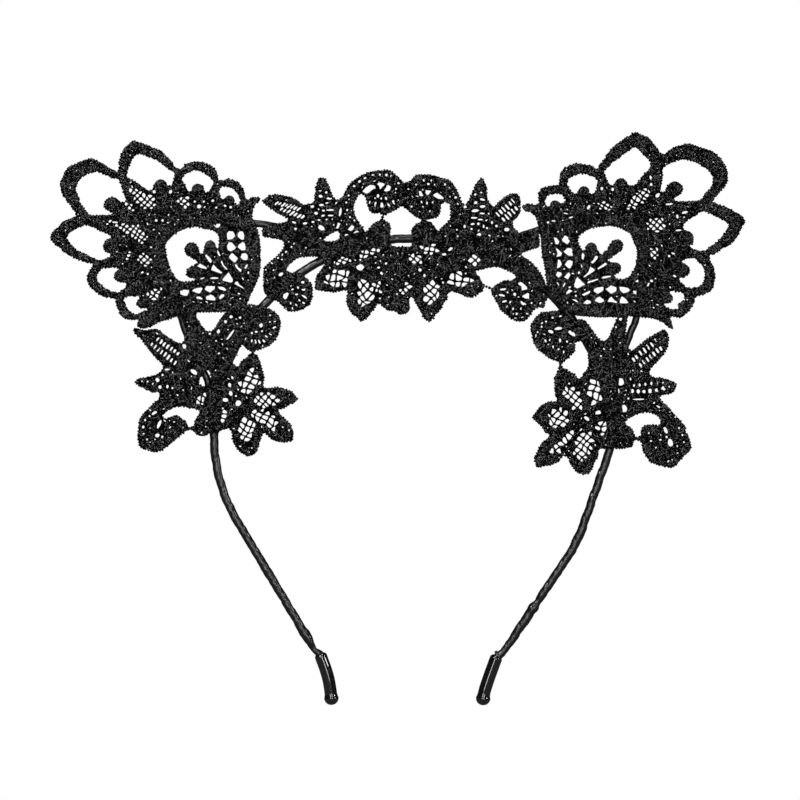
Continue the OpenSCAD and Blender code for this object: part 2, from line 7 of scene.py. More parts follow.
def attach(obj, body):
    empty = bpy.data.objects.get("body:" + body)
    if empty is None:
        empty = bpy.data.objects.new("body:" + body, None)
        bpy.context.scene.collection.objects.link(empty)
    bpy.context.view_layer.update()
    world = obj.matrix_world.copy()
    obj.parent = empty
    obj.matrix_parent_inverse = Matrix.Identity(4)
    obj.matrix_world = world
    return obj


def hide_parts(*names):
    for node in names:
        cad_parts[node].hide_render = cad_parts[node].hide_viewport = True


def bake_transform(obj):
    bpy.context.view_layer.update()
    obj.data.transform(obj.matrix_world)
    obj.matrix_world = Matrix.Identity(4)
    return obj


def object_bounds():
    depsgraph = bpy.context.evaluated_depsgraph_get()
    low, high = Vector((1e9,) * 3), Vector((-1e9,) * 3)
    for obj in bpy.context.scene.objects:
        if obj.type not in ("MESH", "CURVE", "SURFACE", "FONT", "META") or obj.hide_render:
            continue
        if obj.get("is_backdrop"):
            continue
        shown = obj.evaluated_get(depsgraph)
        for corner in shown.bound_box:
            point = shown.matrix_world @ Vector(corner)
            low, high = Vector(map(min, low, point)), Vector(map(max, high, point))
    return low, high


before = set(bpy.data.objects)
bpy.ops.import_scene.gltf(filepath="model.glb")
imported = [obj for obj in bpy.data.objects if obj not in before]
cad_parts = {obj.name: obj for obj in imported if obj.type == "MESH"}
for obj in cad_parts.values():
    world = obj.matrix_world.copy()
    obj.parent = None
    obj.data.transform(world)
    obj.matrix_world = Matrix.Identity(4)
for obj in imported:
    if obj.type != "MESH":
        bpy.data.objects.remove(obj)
CAD_BOX = [[float(x) for x in v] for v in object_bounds()]
rng = np.random.default_rng(7)

# ---------------------------------------------------------------- chart and sizes, in millimetres
CHART = 0.32
BAND_R, CORE_R = 1.45, 0.9
CROWN_R = 63.7
CROWN_Z = BAND_R - CROWN_R
EAR_R = 1.2
LEG_R = CROWN_R + BAND_R + EAR_R + 0.08
LACE_T = 1.5
LACE_BACK = -(BAND_R + 0.5)
EAR_MID_Y = LACE_BACK - LACE_T - 0.1 - LACE_T / 2
EAR_PIVOT_Z = (242.5 - 300) * CHART
EAR_LEAN = 5.0


def leg(a):
    a = math.radians(a)
    return [412.5 + LEG_R / CHART * math.cos(a), 242.5 - (CROWN_Z + LEG_R * math.sin(a)) / CHART]


LEFT_EAR_LACE = [[117, 170], [118, 166], [118, 160], [120, 153], [123, 147], [127, 143], [131, 139], [137, 140],
    [144, 142], [152, 146], [160, 149], [166, 155], [171, 160], [174, 165], [178, 168], [182, 167], [184, 163],
    [190, 161], [198, 160], [206, 162], [212, 165], [216, 170], [218, 175], [219, 180], [223, 179], [230, 178],
    [236, 180], [241, 184], [244, 190], [246, 198], [252, 197], [259, 196], [260, 200], [255, 204], [253, 211],
    [253, 218], [257, 228], [260, 238], [261, 255], [261, 268], [259, 278], [255, 288], [250, 298], [247, 306],
    [236, 312], [222, 313], [200, 313], [190, 314], [180, 316], [170, 320], [160, 323], [150, 328], [141, 329],
    [137, 325], [139, 320], [134, 321], [126, 319], [121, 315], [118, 309], [116, 303], [116, 299], [110, 298],
    [104, 297], [97, 293], [91, 288], [88, 283], [87, 277], [89, 271], [93, 265], [88, 263], [79, 260], [72, 257],
    [64, 252], [58, 247], [52, 242], [50, 237], [53, 230], [58, 226], [63, 221], [70, 218], [75, 215], [73, 210],
    [68, 203], [63, 196], [60, 190], [59, 183], [61, 177], [64, 170], [68, 165], [75, 162], [82, 159], [90, 157],
    [98, 160], [105, 164], [111, 168]]
LEFT_EAR_HOLES = [
    [[79, 180], [84, 175], [91, 172], [97, 171], [101, 173], [107, 175], [113, 178], [117, 178], [119, 182],
     [122, 190], [125, 199], [121, 201], [117, 199], [112, 196], [106, 198], [103, 204], [106, 210], [112, 213],
     [105, 214], [97, 214], [90, 214], [85, 209], [81, 203], [78, 196], [76, 188]],
    [[127, 176], [127, 170], [130, 163], [133, 157], [137, 153], [142, 154], [149, 156], [157, 160], [163, 164],
     [169, 169], [174, 173], [172, 180], [171, 184], [167, 184], [163, 180], [158, 179], [153, 183], [152, 187],
     [148, 189], [140, 184], [133, 179]],
    [[182, 178], [186, 173], [192, 170], [197, 169], [203, 172], [209, 176], [213, 182], [209, 189], [205, 191],
     [203, 185], [198, 183], [193, 185], [191, 190], [188, 190], [185, 184]],
    [[219, 189], [224, 186], [230, 187], [236, 191], [239, 197], [239, 203], [236, 203], [233, 198], [229, 195],
     [225, 197], [221, 197]],
    [[67, 237], [72, 231], [78, 228], [86, 225], [92, 227], [100, 231], [107, 234], [111, 237], [106, 239],
     [103, 245], [104, 251], [109, 254], [112, 254], [108, 257], [101, 260], [94, 258], [86, 254], [78, 250],
     [72, 245]],
    [[97, 279], [99, 273], [103, 269], [111, 268], [119, 269], [115, 272], [114, 277], [117, 282], [122, 283],
     [127, 284], [124, 289], [119, 292], [113, 292], [107, 289], [102, 285]],
    [[125, 299], [130, 297], [139, 297], [137, 302], [137, 306], [141, 309], [148, 309], [143, 312], [136, 314],
     [131, 312], [127, 307]],
    [[166, 246], [168, 239], [173, 235], [180, 231], [188, 228], [196, 227], [205, 229], [213, 231], [218, 236],
     [218, 247], [216, 247], [214, 242], [210, 240], [206, 242], [204, 247], [203, 253], [200, 252], [197, 245],
     [191, 242], [185, 246], [184, 251], [188, 256], [195, 260], [197, 263], [192, 266], [187, 269], [186, 274],
     [189, 278], [196, 279], [190, 281], [181, 281], [176, 277], [172, 270], [169, 262], [167, 254]]]
RIGHT_EAR_LACE = [[538, 203], [538, 195], [541, 188], [549, 185], [557, 184], [559, 182], [560, 174], [564, 167],
    [570, 164], [576, 162], [586, 163], [594, 165], [597, 168], [600, 163], [603, 160], [606, 155], [612, 147],
    [618, 142], [624, 137], [631, 133], [637, 130], [643, 133], [650, 136], [654, 141], [659, 147], [663, 153],
    [668, 150], [674, 146], [682, 143], [691, 142], [700, 145], [710, 148], [718, 153], [724, 160], [728, 168],
    [729, 176], [727, 184], [722, 190], [717, 196], [713, 201], [718, 203], [726, 206], [734, 210], [742, 215],
    [746, 221], [742, 228], [738, 236], [731, 244], [722, 249], [714, 254], [709, 257], [713, 265], [715, 275],
    [714, 285], [710, 292], [702, 295], [694, 298], [693, 305], [688, 312], [681, 318], [675, 318], [670, 317],
    [671, 324], [673, 330], [666, 326], [658, 321], [650, 319], [641, 318], [630, 317], [616, 318], [600, 318],
    [584, 317], [576, 316], [568, 313], [560, 307], [553, 299], [547, 290], [545, 274], [543, 262], [541, 250],
    [540, 238], [539, 228], [536, 219], [531, 212], [524, 210], [522, 205], [528, 203]]
RIGHT_EAR_HOLES = [
    [[546, 202], [546, 198], [550, 194], [556, 193], [562, 194], [565, 199], [563, 202], [558, 201], [552, 201],
     [549, 206]],
    [[568, 184], [570, 177], [577, 174], [584, 173], [591, 175], [597, 179], [597, 186], [594, 192], [590, 192],
     [588, 188], [583, 186], [578, 189], [576, 193], [572, 190]],
    [[605, 171], [611, 164], [618, 158], [626, 152], [634, 147], [637, 147], [643, 153], [649, 159], [651, 165],
     [645, 172], [640, 178], [636, 183], [630, 184], [626, 179], [621, 177], [616, 180], [613, 184], [609, 182],
     [607, 177]],
    [[664, 168], [669, 164], [677, 160], [686, 159], [694, 161], [702, 165], [709, 170], [713, 176], [712, 184],
     [708, 190], [703, 196], [700, 199], [690, 200], [678, 200], [675, 198], [682, 193], [684, 187], [680, 182],
     [674, 181], [668, 184], [665, 190], [661, 190], [663, 182], [664, 175]],
    [[684, 225], [690, 219], [697, 215], [703, 211], [711, 214], [721, 219], [728, 223], [727, 229], [722, 236],
     [716, 242], [709, 247], [702, 251], [695, 249], [690, 246], [694, 243], [693, 236], [688, 231], [685, 229]],
    [[682, 262], [688, 259], [695, 259], [700, 264], [704, 270], [704, 277], [702, 284], [697, 287], [690, 288],
     [685, 286], [680, 281], [679, 279], [686, 277], [690, 271], [687, 265]],
    [[670, 292], [677, 292], [682, 294], [684, 299], [680, 303], [678, 304], [677, 309], [671, 309], [665, 306],
     [665, 304], [670, 303], [673, 298]],
    [[579, 237], [585, 232], [592, 228], [600, 227], [608, 226], [616, 227], [624, 230], [630, 234], [633, 241],
     [636, 250], [636, 258], [634, 267], [631, 273], [627, 277], [620, 279], [614, 276], [619, 273], [621, 269],
     [619, 264], [613, 262], [608, 260], [614, 256], [620, 251], [624, 245], [622, 241], [617, 239], [612, 241],
     [609, 246], [605, 251], [601, 254], [598, 250], [596, 245], [591, 242], [586, 246], [584, 250], [581, 247],
     [579, 242]]]
CROWN = [[262, 201], [265, 198], [270, 195], [277, 194], [284, 195], [292, 197], [299, 201], [304, 204], [308, 203],
    [313, 202], [314, 197], [315, 190], [316, 184], [318, 178], [321, 177], [325, 178], [328, 184], [331, 190],
    [334, 197], [338, 199], [341, 198], [343, 195], [347, 187], [350, 183], [356, 178], [363, 174], [371, 171],
    [380, 170], [390, 170], [396, 174], [401, 179], [404, 182], [410, 180], [414, 176], [419, 174], [428, 174],
    [437, 176], [444, 178], [450, 180], [455, 186], [459, 193], [462, 201], [465, 204], [468, 201], [470, 196],
    [473, 189], [477, 182], [480, 178], [483, 178], [485, 182], [487, 190], [488, 198], [490, 203], [494, 206],
    [497, 203], [503, 198], [509, 194], [515, 193], [519, 195], [521, 200], [521, 206], [521, 212], [518, 217],
    [514, 221], [513, 226], [516, 229], [520, 233], [528, 231], [536, 229], [539, 232], [540, 246], [537, 248],
    [531, 250], [522, 254], [527, 258], [532, 262], [537, 268], [542, 274], [545, 281], [546, 290], [548, 297],
    [546, 302], [544, 308], [538, 308], [533, 312], [529, 318], [523, 322], [514, 321], [507, 316], [501, 311],
    [497, 304], [493, 297], [492, 292], [489, 289], [485, 287], [484, 290], [481, 293], [476, 296], [470, 298],
    [463, 296], [456, 293], [451, 292], [448, 295], [448, 299], [444, 304], [441, 310], [437, 314], [434, 318],
    [430, 322], [424, 319], [421, 314], [419, 309], [416, 305], [414, 301], [412, 297], [410, 301], [410, 310],
    [408, 313], [401, 315], [395, 312], [388, 311], [383, 307], [378, 304], [376, 308], [372, 312], [369, 317],
    [361, 322], [357, 318], [352, 315], [348, 308], [346, 300], [347, 292], [345, 291], [338, 292], [334, 293],
    [328, 292], [318, 291], [315, 289], [315, 280], [317, 274], [321, 269], [324, 264], [321, 258], [310, 257],
    [301, 258], [293, 262], [287, 269], [290, 272], [298, 272], [304, 275], [309, 280], [313, 286], [313, 297],
    [311, 303], [306, 308], [299, 311], [292, 312], [285, 310], [281, 305], [274, 300], [267, 297], [263, 290],
    [263, 280], [263, 268], [266, 265], [270, 261], [275, 257], [280, 252], [283, 247], [283, 242], [276, 239],
    [268, 238], [263, 237], [262, 233], [262, 229], [266, 226], [272, 224], [283, 222], [288, 220], [284, 217],
    [276, 213], [268, 207], [263, 203]]
CROWN_HOLES = [
    [[360, 195], [365, 197], [366, 203], [368, 208], [370, 212], [375, 214], [381, 214], [381, 218], [378, 221],
     [372, 224], [366, 231], [363, 227], [358, 220], [355, 213], [354, 207], [356, 201]],
    [[384, 217], [388, 214], [395, 211], [401, 207], [405, 209], [410, 213], [417, 218], [421, 221], [415, 224],
     [411, 230], [412, 240], [410, 246], [401, 246], [391, 244], [391, 228], [389, 222], [385, 220]],
    [[449, 204], [450, 212], [449, 219], [446, 223], [441, 227], [438, 231], [435, 226], [430, 222], [426, 220],
     [432, 219], [438, 217], [441, 212], [441, 206], [445, 203]],
    [[476, 272], [482, 270], [490, 268], [500, 268], [509, 272], [515, 276], [512, 280], [505, 280], [498, 283],
     [494, 286], [492, 288], [489, 286], [486, 285], [483, 283], [480, 277]],
    [[324, 240], [330, 235], [335, 232], [339, 233], [338, 239], [331, 241]]]
LEFT_SIDE = [[133, 331], [135, 328], [142, 330], [150, 329], [158, 329], [163, 333], [168, 337], [174, 340],
    [179, 343], [183, 341], [185, 334], [185, 327], [182, 320], [182, 312], [188, 308], [196, 309], [197, 317],
    [200, 322], [204, 328], [209, 331], [214, 328], [219, 320], [224, 314], [229, 308], [240, 305], [252, 304],
    [262, 306], [271, 309], [278, 314], [281, 320], [281, 326], [279, 334], [275, 341], [268, 347], [260, 350],
    [254, 352], [258, 356], [261, 362], [263, 370], [265, 378], [264, 387], [272, 387], [280, 387], [287, 389],
    [293, 392], [296, 396], [298, 399], [295, 402], [290, 405], [284, 409], [278, 411], [283, 416], [287, 420],
    [291, 424], [293, 430], [294, 434], [293, 440], [286, 443], [278, 442], [272, 440], [267, 436], [264, 433],
    [262, 437], [260, 443], [258, 450], [255, 454], [248, 457], [242, 454], [237, 450], [234, 445], [232, 440],
    [231, 433], [228, 429], [222, 431], [216, 433], [212, 433], [206, 436], [200, 436], [195, 433], [192, 431],
    [189, 430], [183, 434], [177, 439], [170, 445], [165, 449], [159, 452], [152, 452], [146, 450], [140, 448],
    [138, 443], [137, 437], [138, 428], [139, 420], [143, 413], [148, 408], [153, 403], [159, 399], [159, 393],
    [153, 393], [147, 390], [140, 387], [135, 383], [138, 379], [145, 377], [152, 375], [158, 373], [161, 370],
    [163, 366], [159, 362], [154, 357], [150, 352], [146, 347], [142, 341], [138, 337]]
LEFT_SIDE_HOLES = [
    [[163, 416], [168, 411], [175, 408], [183, 407], [191, 409], [199, 411], [197, 416], [194, 421], [193, 426],
     [189, 427], [187, 425], [185, 421], [182, 418], [177, 415], [170, 416], [166, 418]],
    [[233, 359], [237, 353], [240, 347], [243, 346], [247, 350], [251, 352], [248, 356], [243, 359], [240, 363],
     [237, 366], [234, 363]],
    [[201, 385], [200, 379], [204, 374], [207, 370], [210, 374], [210, 381], [209, 385]]]
RIGHT_SIDE = [[530, 326], [532, 322], [536, 316], [542, 312], [550, 311], [560, 310], [566, 314], [574, 319],
    [583, 319], [588, 323], [593, 330], [598, 337], [604, 341], [608, 337], [611, 330], [614, 324], [616, 319],
    [618, 313], [626, 313], [628, 318], [626, 330], [627, 340], [628, 346], [632, 350], [640, 344], [650, 336],
    [660, 331], [663, 329], [667, 332], [669, 337], [669, 343], [667, 349], [663, 356], [658, 362], [652, 368],
    [650, 371], [651, 375], [656, 377], [664, 378], [670, 380], [675, 382], [677, 385], [675, 391], [669, 394],
    [662, 396], [660, 398], [664, 403], [670, 408], [675, 414], [680, 419], [685, 426], [687, 433], [690, 440],
    [692, 447], [690, 451], [685, 456], [680, 461], [676, 466], [670, 468], [663, 467], [656, 465], [650, 462],
    [645, 456], [642, 450], [641, 443], [638, 441], [635, 440], [633, 446], [629, 448], [622, 449], [614, 449],
    [606, 449], [600, 449], [599, 453], [598, 458], [595, 463], [593, 468], [590, 473], [584, 475], [577, 473],
    [573, 469], [570, 464], [567, 458], [563, 457], [560, 461], [555, 464], [549, 466], [543, 467], [537, 468],
    [535, 463], [534, 458], [537, 451], [539, 446], [543, 441], [548, 437], [549, 435], [545, 433], [541, 427],
    [537, 423], [532, 418], [535, 412], [539, 407], [544, 403], [549, 401], [556, 401], [555, 396], [554, 390],
    [554, 384], [554, 378], [556, 373], [558, 369], [559, 367], [558, 362], [550, 359], [543, 354], [537, 349],
    [533, 342], [531, 334]]
RIGHT_SIDE_HOLES = [
    [[575, 345], [577, 342], [582, 342], [586, 346], [587, 353], [588, 362], [587, 368], [583, 373], [579, 379],
     [575, 374], [570, 371], [565, 369], [562, 365], [568, 359], [573, 354], [576, 350]],
    [[626, 423], [630, 418], [637, 415], [645, 413], [652, 414], [658, 417], [660, 421], [658, 425], [652, 424],
     [645, 425], [641, 429], [640, 435], [637, 437], [635, 434], [632, 428]]]
LEFT_EAR = [leg(103), leg(106), leg(109), leg(112), [323, 247], [312, 243], [300, 236], [284, 228],
            [264, 224], [240, 221.5], [215, 220], [192, 222], [173, 230], [161, 244], [159, 263],
            [166, 285], [176, 306], [184, 328], [190, 346], [198, 362], [205, 376], [208.4, 387],
            leg(169), leg(172), leg(175)]
RIGHT_EAR = [leg(77), leg(74), leg(71), leg(68), [501, 246.5], [512, 241], [525, 234], [545, 228],
             [566, 224], [588, 220], [610, 218.5], [629, 221], [641, 231], [645, 248], [644, 268],
             [641, 290], [638, 314], [632, 331], [626, 346], [620.5, 361], [616.9, 375], [615.6, 387],
             leg(11), leg(8), leg(5)]


def flat(p):
    p = np.asarray(p, float)
    return np.stack([(p[:, 0] - 412.5) * CHART, (242.5 - p[:, 1]) * CHART], 1)


def cat(a, b, c, d, t):
    return 0.5 * (2 * b + (c - a) * t + (2 * a - 5 * b + 4 * c - d) * t * t + (3 * b - a - 3 * c + d) * t ** 3)


def curve(p, k, closed=False):
    p = np.asarray(p, float)
    n = len(p)
    out = []
    for i in range(n if closed else n - 1):
        if closed:
            a, b, c, d = p[i - 1], p[i], p[(i + 1) % n], p[(i + 2) % n]
        else:
            a, b, c, d = p[max(i - 1, 0)], p[i], p[i + 1], p[min(i + 2, n - 1)]
        out += [cat(a, b, c, d, j / k) for j in range(k)]
    if not closed:
        out.append(p[-1])
    return np.array(out)


def spaced(p, step, closed=False):
    """The same line with points about step apart."""
    p = np.asarray(p, float)
    if closed:
        p = np.vstack([p, p[:1]])
    d = np.r_[0, np.cumsum(np.linalg.norm(np.diff(p, axis=0), axis=1))]
    n = max(2, int(round(d[-1] / step)) + (0 if closed else 1))
    t = np.linspace(0, d[-1], n, endpoint=not closed)
    return np.stack([np.interp(t, d, p[:, k]) for k in range(p.shape[1])], 1)


def tangents(p, closed=False):
    t = np.roll(p, -1, 0) - np.roll(p, 1, 0) if closed else np.gradient(p, axis=0)
    return t / np.maximum(np.linalg.norm(t, axis=1, keepdims=True), 1e-9)


# ---------------------------------------------------------------- regions
def in_poly(p, q):
    """Which of the points p are inside polygon q."""
    a, b = q[None], np.roll(q, -1, 0)[None]
    x, y = p[:, None, 0], p[:, None, 1]
    up = (a[..., 1] > y) != (b[..., 1] > y)
    dy = np.where(np.abs(b[..., 1] - a[..., 1]) < 1e-12, 1e-12, b[..., 1] - a[..., 1])
    return (up & (x < (b[..., 0] - a[..., 0]) * (y - a[..., 1]) / dy + a[..., 0])).sum(1) % 2 == 1


def oval(u, v, rx, ry=None, deg=0.0, n=9, rough=0.14):
    """A small rough opening, in mm; rx and ry in chart squares, deg turns it anticlockwise."""
    ry = rx if ry is None else ry
    a = rng.uniform(0, 6.28) + np.arange(n) / n * 2 * np.pi
    c, s = math.cos(math.radians(deg)), math.sin(math.radians(deg))
    k = rng.uniform(1 - rough, 1 + rough * 0.7, n)
    x, y = np.cos(a) * rx * k, np.sin(a) * ry * k
    return flat([[u, v]])[0] + np.stack([x * c - y * s, x * s + y * c], 1) * CHART


def ladder(u0, v0, u1, v1, n, length, deg, w=2.0):
    """A row of n slits, centred on the line from the first point to the second; deg is their slope above the horizontal."""
    c, s = math.cos(math.radians(deg)), -math.sin(math.radians(deg))
    out = []
    for k in range(n):
        t = k / (n - 1)
        m = np.array([u0 + (u1 - u0) * t, v0 + (v1 - v0) * t]) + rng.normal(0, 0.25, 2)
        h = length / 2 * rng.uniform(0.75, 1.1) * (0.72 + 0.28 * math.sin(math.pi * (k + 0.5) / n))
        a, b = w / 2 * rng.uniform(0.8, 1.2), w / 2 * rng.uniform(0.8, 1.2)
        q = [(-h, 0), (-h * 0.7, a), (0, a * 1.15), (h * 0.7, b), (h, 0), (h * 0.7, -b), (0, -b * 1.15), (-h * 0.7, -a)]
        out.append([[m[0] + x * c + y * s, m[1] + x * s - y * c] for x, y in q])
    return out


def net(zone, pitch, deg, bar=1.5):
    """The openings of a patch of netting."""
    z = np.array(zone, float)
    c, s = math.cos(math.radians(deg)), math.sin(math.radians(deg))
    m = z.mean(0)
    out = []
    k = int(60 / pitch)
    off = rng.uniform(-0.5, 0.5, 2)
    shift = rng.normal(0, 0.17, (2 * k + 2, 2 * k + 2, 2))
    for i in range(-k, k):
        for j in range(-k, k):
            q = []
            for di, dj in ((0, 0), (1, 0), (1, 1), (0, 1)):
                w = (np.array([i + di, j + dj]) + off + shift[i + di, j + dj]) * pitch
                q.append(m + [w[0] * c - w[1] * s * 0.94, w[0] * s + w[1] * c * 0.94])
            q = np.array(q)
            g = q.mean(0)
            q = g + (q - g) * (1 - bar / pitch)
            if not in_poly(g[None], z)[0]:
                continue
            ok = in_poly(q, z)
            if ok.sum() < 2:
                continue
            q = np.where(ok[:, None], q, g + (q - g) * 0.45)
            e = (np.roll(q, -1, 0) + q) / 2
            e = g + (e - g) * 1.06
            r = np.stack([g + (q - g) * 0.88, e], 1).reshape(-1, 2)
            out.append(flat(r))
    return out


class Region:
    """The solid part of a lace motif: an outline less its openings, in the XZ plane."""

    def __init__(self, body, holes, cells, nets, pins, shapes=()):
        self.rings = [spaced(curve(flat(body), 4, True), 0.5, True)]
        self.rings += [spaced(curve(flat(h), 4, True), 0.5, True) for h in holes]
        self.cells = []
        self.index()
        want = [flat(h) for h in shapes] + [oval(*c) for c in cells]
        for z in nets:
            want += net(*z)
        for c in want:
            self.accept(c)
        self.index()
        if pins:
            lo, hi = self.rings[0].min(0), self.rings[0].max(0)
            got = []
            for q in rng.uniform(lo, hi, (pins * 12, 2)):
                if len(got) >= pins:
                    break
                if self.inside(q[None])[0] and self.near(q[None])[0][0] > 0.85 and all(np.hypot(*(q - g)) > 1.3 for g in got):
                    got.append(q)
            for q in got:
                self.accept(oval(q[0] / CHART + 412.5, 242.5 - q[1] / CHART, rng.uniform(0.45, 0.9), rng.uniform(0.6, 1.7),
                                 rng.uniform(0, 180), 6, 0.4))
            self.index()

    def accept(self, c):
        """Keeps an opening clear of the edges and of the other openings, smaller if need be."""
        m = c.mean(0)
        edge = np.vstack(self.rings)
        for _ in range(6):
            d = np.linalg.norm(c[:, None] - edge[None], axis=2).min()
            ok = d > 0.36 and self.inside(c).all()
            if ok and self.cells:
                o = np.vstack(self.cells)
                near = o[np.linalg.norm(o - m, axis=1) < 6]
                if len(near):
                    e = np.vstack([c, (c + np.roll(c, -1, 0)) / 2])
                    ok = np.linalg.norm(e[:, None] - near[None], axis=2).min() > 0.2 and not in_poly(near, c).any()
            if ok:
                self.cells.append(c)
                return
            c = m + (c - m) * 0.82

    def index(self):
        rings = self.rings + self.cells
        self.a = np.vstack(rings)
        self.b = np.vstack([np.roll(r, -1, 0) for r in rings])
        self.big = sum(len(r) for r in self.rings)

    def inside(self, p):
        out = np.zeros(len(p), bool)
        for i in range(0, len(p), 4000):
            q = p[i:i + 4000, None]
            a, b = self.a[None], self.b[None]
            up = (a[..., 1] > q[..., 1]) != (b[..., 1] > q[..., 1])
            dz = np.where(np.abs(b[..., 1] - a[..., 1]) < 1e-12, 1e-12, b[..., 1] - a[..., 1])
            x = (b[..., 0] - a[..., 0]) * (q[..., 1] - a[..., 1]) / dz + a[..., 0]
            out[i:i + 4000] = (up & (q[..., 0] < x)).sum(1) % 2 == 1
        return out

    def near(self, p, big=False):
        """(distance to the nearest edge, unit vector towards it)"""
        n = self.big if big else len(self.a)
        mid = (self.a[:n] + self.b[:n]) / 2
        d, g = np.zeros(len(p)), np.zeros((len(p), 2))
        for i in range(0, len(p), 3000):
            v = mid[None] - p[i:i + 3000, None]
            l = np.linalg.norm(v, axis=2)
            k = l.argmin(1)
            d[i:i + 3000] = l[np.arange(len(k)), k]
            g[i:i + 3000] = v[np.arange(len(k)), k] / np.maximum(d[i:i + 3000, None], 1e-6)
        return d, g


# ---------------------------------------------------------------- meshes
def mesh_object(name, verts, faces, smooth=True, uv=None):
    """verts in mm. faces is a list of index arrays or an (n, 4) array."""
    me = bpy.data.meshes.new(name)
    me.from_pydata((np.asarray(verts) * 0.001).tolist(), [], faces.tolist() if hasattr(faces, "tolist") else faces)
    me.update()
    if smooth:
        me.polygons.foreach_set("use_smooth", [True] * len(me.polygons))
    if uv:
        n = len(me.polygons)
        g = int(math.ceil(math.sqrt(n)))
        layer = me.uv_layers.new(name="OFBake")
        co = np.zeros((len(me.loops), 2), np.float32)
        starts = np.zeros(n, int)
        totals = np.zeros(n, int)
        me.polygons.foreach_get("loop_start", starts)
        me.polygons.foreach_get("loop_total", totals)
        corner = np.array([[0.12, 0.12], [0.88, 0.12], [0.88, 0.88], [0.12, 0.88]])
        k = np.arange(n)
        cell = np.stack([k % g, k // g], 1)
        for c in range(4):
            ok = totals > c
            co[starts[ok] + c] = (cell[ok] + corner[c]) / g
        layer.data.foreach_set("uv", co.ravel())
    o = bpy.data.objects.new(name, me)
    bpy.context.scene.collection.objects.link(o)
    return o


class Threads:
    """Many round threads in one mesh."""

    def __init__(self, sides=5):
        self.n = sides
        self.v, self.f, self.count = [], [], 0

    def add(self, lines, r, normals=None, closed=False):
        """lines is (k, m, 3): k threads of m points. r is a number, or an array of (k, m)."""
        p = np.asarray(lines, float)
        if p.ndim == 2:
            p = p[None]
        k, m, _ = p.shape
        if closed:
            t = np.roll(p, -1, 1) - np.roll(p, 1, 1)
        else:
            t = np.gradient(p, axis=1)
        t /= np.maximum(np.linalg.norm(t, axis=2, keepdims=True), 1e-9)
        if normals is None:
            u = np.broadcast_to(np.array([0.0, 1.0, 0.0]), p.shape)
        else:
            u = np.asarray(normals, float).reshape(p.shape)
        u = u - t * (u * t).sum(2, keepdims=True)
        l = np.linalg.norm(u, axis=2, keepdims=True)
        u = np.where(l < 1e-4, np.array([1.0, 0.0, 0.0]), u / np.maximum(l, 1e-9))
        w = np.cross(t, u)
        r = np.broadcast_to(np.asarray(r, float), (k, m))
        a = np.arange(self.n) / self.n * 2 * np.pi
        ring = (p[:, :, None] + r[:, :, None, None] * (u[:, :, None] * np.cos(a)[None, None, :, None]
                                                      + w[:, :, None] * np.sin(a)[None, None, :, None]))
        base = self.count + (np.arange(k)[:, None, None] * m + np.arange(m)[None, :, None]) * self.n
        idx = base + np.arange(self.n)[None, None]
        nxt = np.roll(idx, -1, 2)
        if closed:
            q = np.stack([idx, np.roll(idx, -1, 1), np.roll(nxt, -1, 1), nxt], 3)
        else:
            q = np.stack([idx[:, :-1], idx[:, 1:], nxt[:, 1:], nxt[:, :-1]], 3)
        # u x w points along the thread, so the rings run anticlockwise about it
        self.f.append(q.reshape(-1, 4)[:, ::-1])
        self.v.append(ring.reshape(-1, 3))
        self.count += k * m * self.n

    def object(self, name, uv=True):
        return mesh_object(name, np.vstack(self.v), np.vstack(self.f), uv=uv)


def sweep_object(name, p, radius, n=24, flat_y=1.0, uv=False):
    """A closed tube of revolution-like section along points p (m, 3) in the XZ plane. radius is a function of (length so far, angle) or an array."""
    p = np.asarray(p, float)
    t = tangents(p)
    side = np.stack([-t[:, 2], np.zeros(len(p)), t[:, 0]], 1)
    y = np.array([0.0, 1.0, 0.0])
    s = np.r_[0, np.cumsum(np.linalg.norm(np.diff(p, axis=0), axis=1))]
    a = np.arange(n) / n * 2 * np.pi
    if callable(radius):
        r = radius(s[:, None], a[None])
    else:
        r = np.asarray(radius, float)[:, None] * np.ones((1, n))
    v = p[:, None] + r[:, :, None] * (side[:, None] * np.cos(a)[None, :, None] + flat_y * y * np.sin(a)[None, :, None])
    m = len(p)
    idx = np.arange(m)[:, None] * n + np.arange(n)[None]
    nxt = np.roll(idx, -1, 1)
    f = np.stack([idx[:-1], nxt[:-1], nxt[1:], idx[1:]], 2).reshape(-1, 4).tolist()
    v = np.vstack([v.reshape(-1, 3), p[:1], p[-1:]])
    e0, e1 = m * n, m * n + 1
    f += [[e0, (k + 1) % n, k] for k in range(n)]
    f += [[e1, (m - 1) * n + k, (m - 1) * n + (k + 1) % n] for k in range(n)]
    o = mesh_object(name, v, f)
    bm_fix(o)
    return o


def bm_fix(o):
    """Faces outwards."""
    import bmesh
    bm = bmesh.new()
    bm.from_mesh(o.data)
    bmesh.ops.recalc_face_normals(bm, faces=bm.faces)
    bm.to_mesh(o.data)
    bm.free()


def lean(v):
    a = math.radians(-EAR_LEAN)
    v = np.array(v, float)
    y, z = v[..., 1] - EAR_MID_Y, v[..., 2] - EAR_PIVOT_Z
    v[..., 1] = EAR_MID_Y + y * math.cos(a) - z * math.sin(a)
    v[..., 2] = EAR_PIVOT_Z + y * math.sin(a) + z * math.cos(a)
    return v


# ---------------------------------------------------------------- materials
def new_material(name):
    m = bpy.data.materials.new(name)
    m.use_nodes = True
    nt = m.node_tree
    b = nt.nodes["Principled BSDF"]
    return m, nt, b


def mix_color(nt, fac, a, b):
    n = nt.nodes.new("ShaderNodeMix")
    n.data_type = "RGBA"
    nt.links.new(fac, n.inputs[0])
    n.inputs[6].default_value = a
    n.inputs[7].default_value = b
    return n.outputs[2]


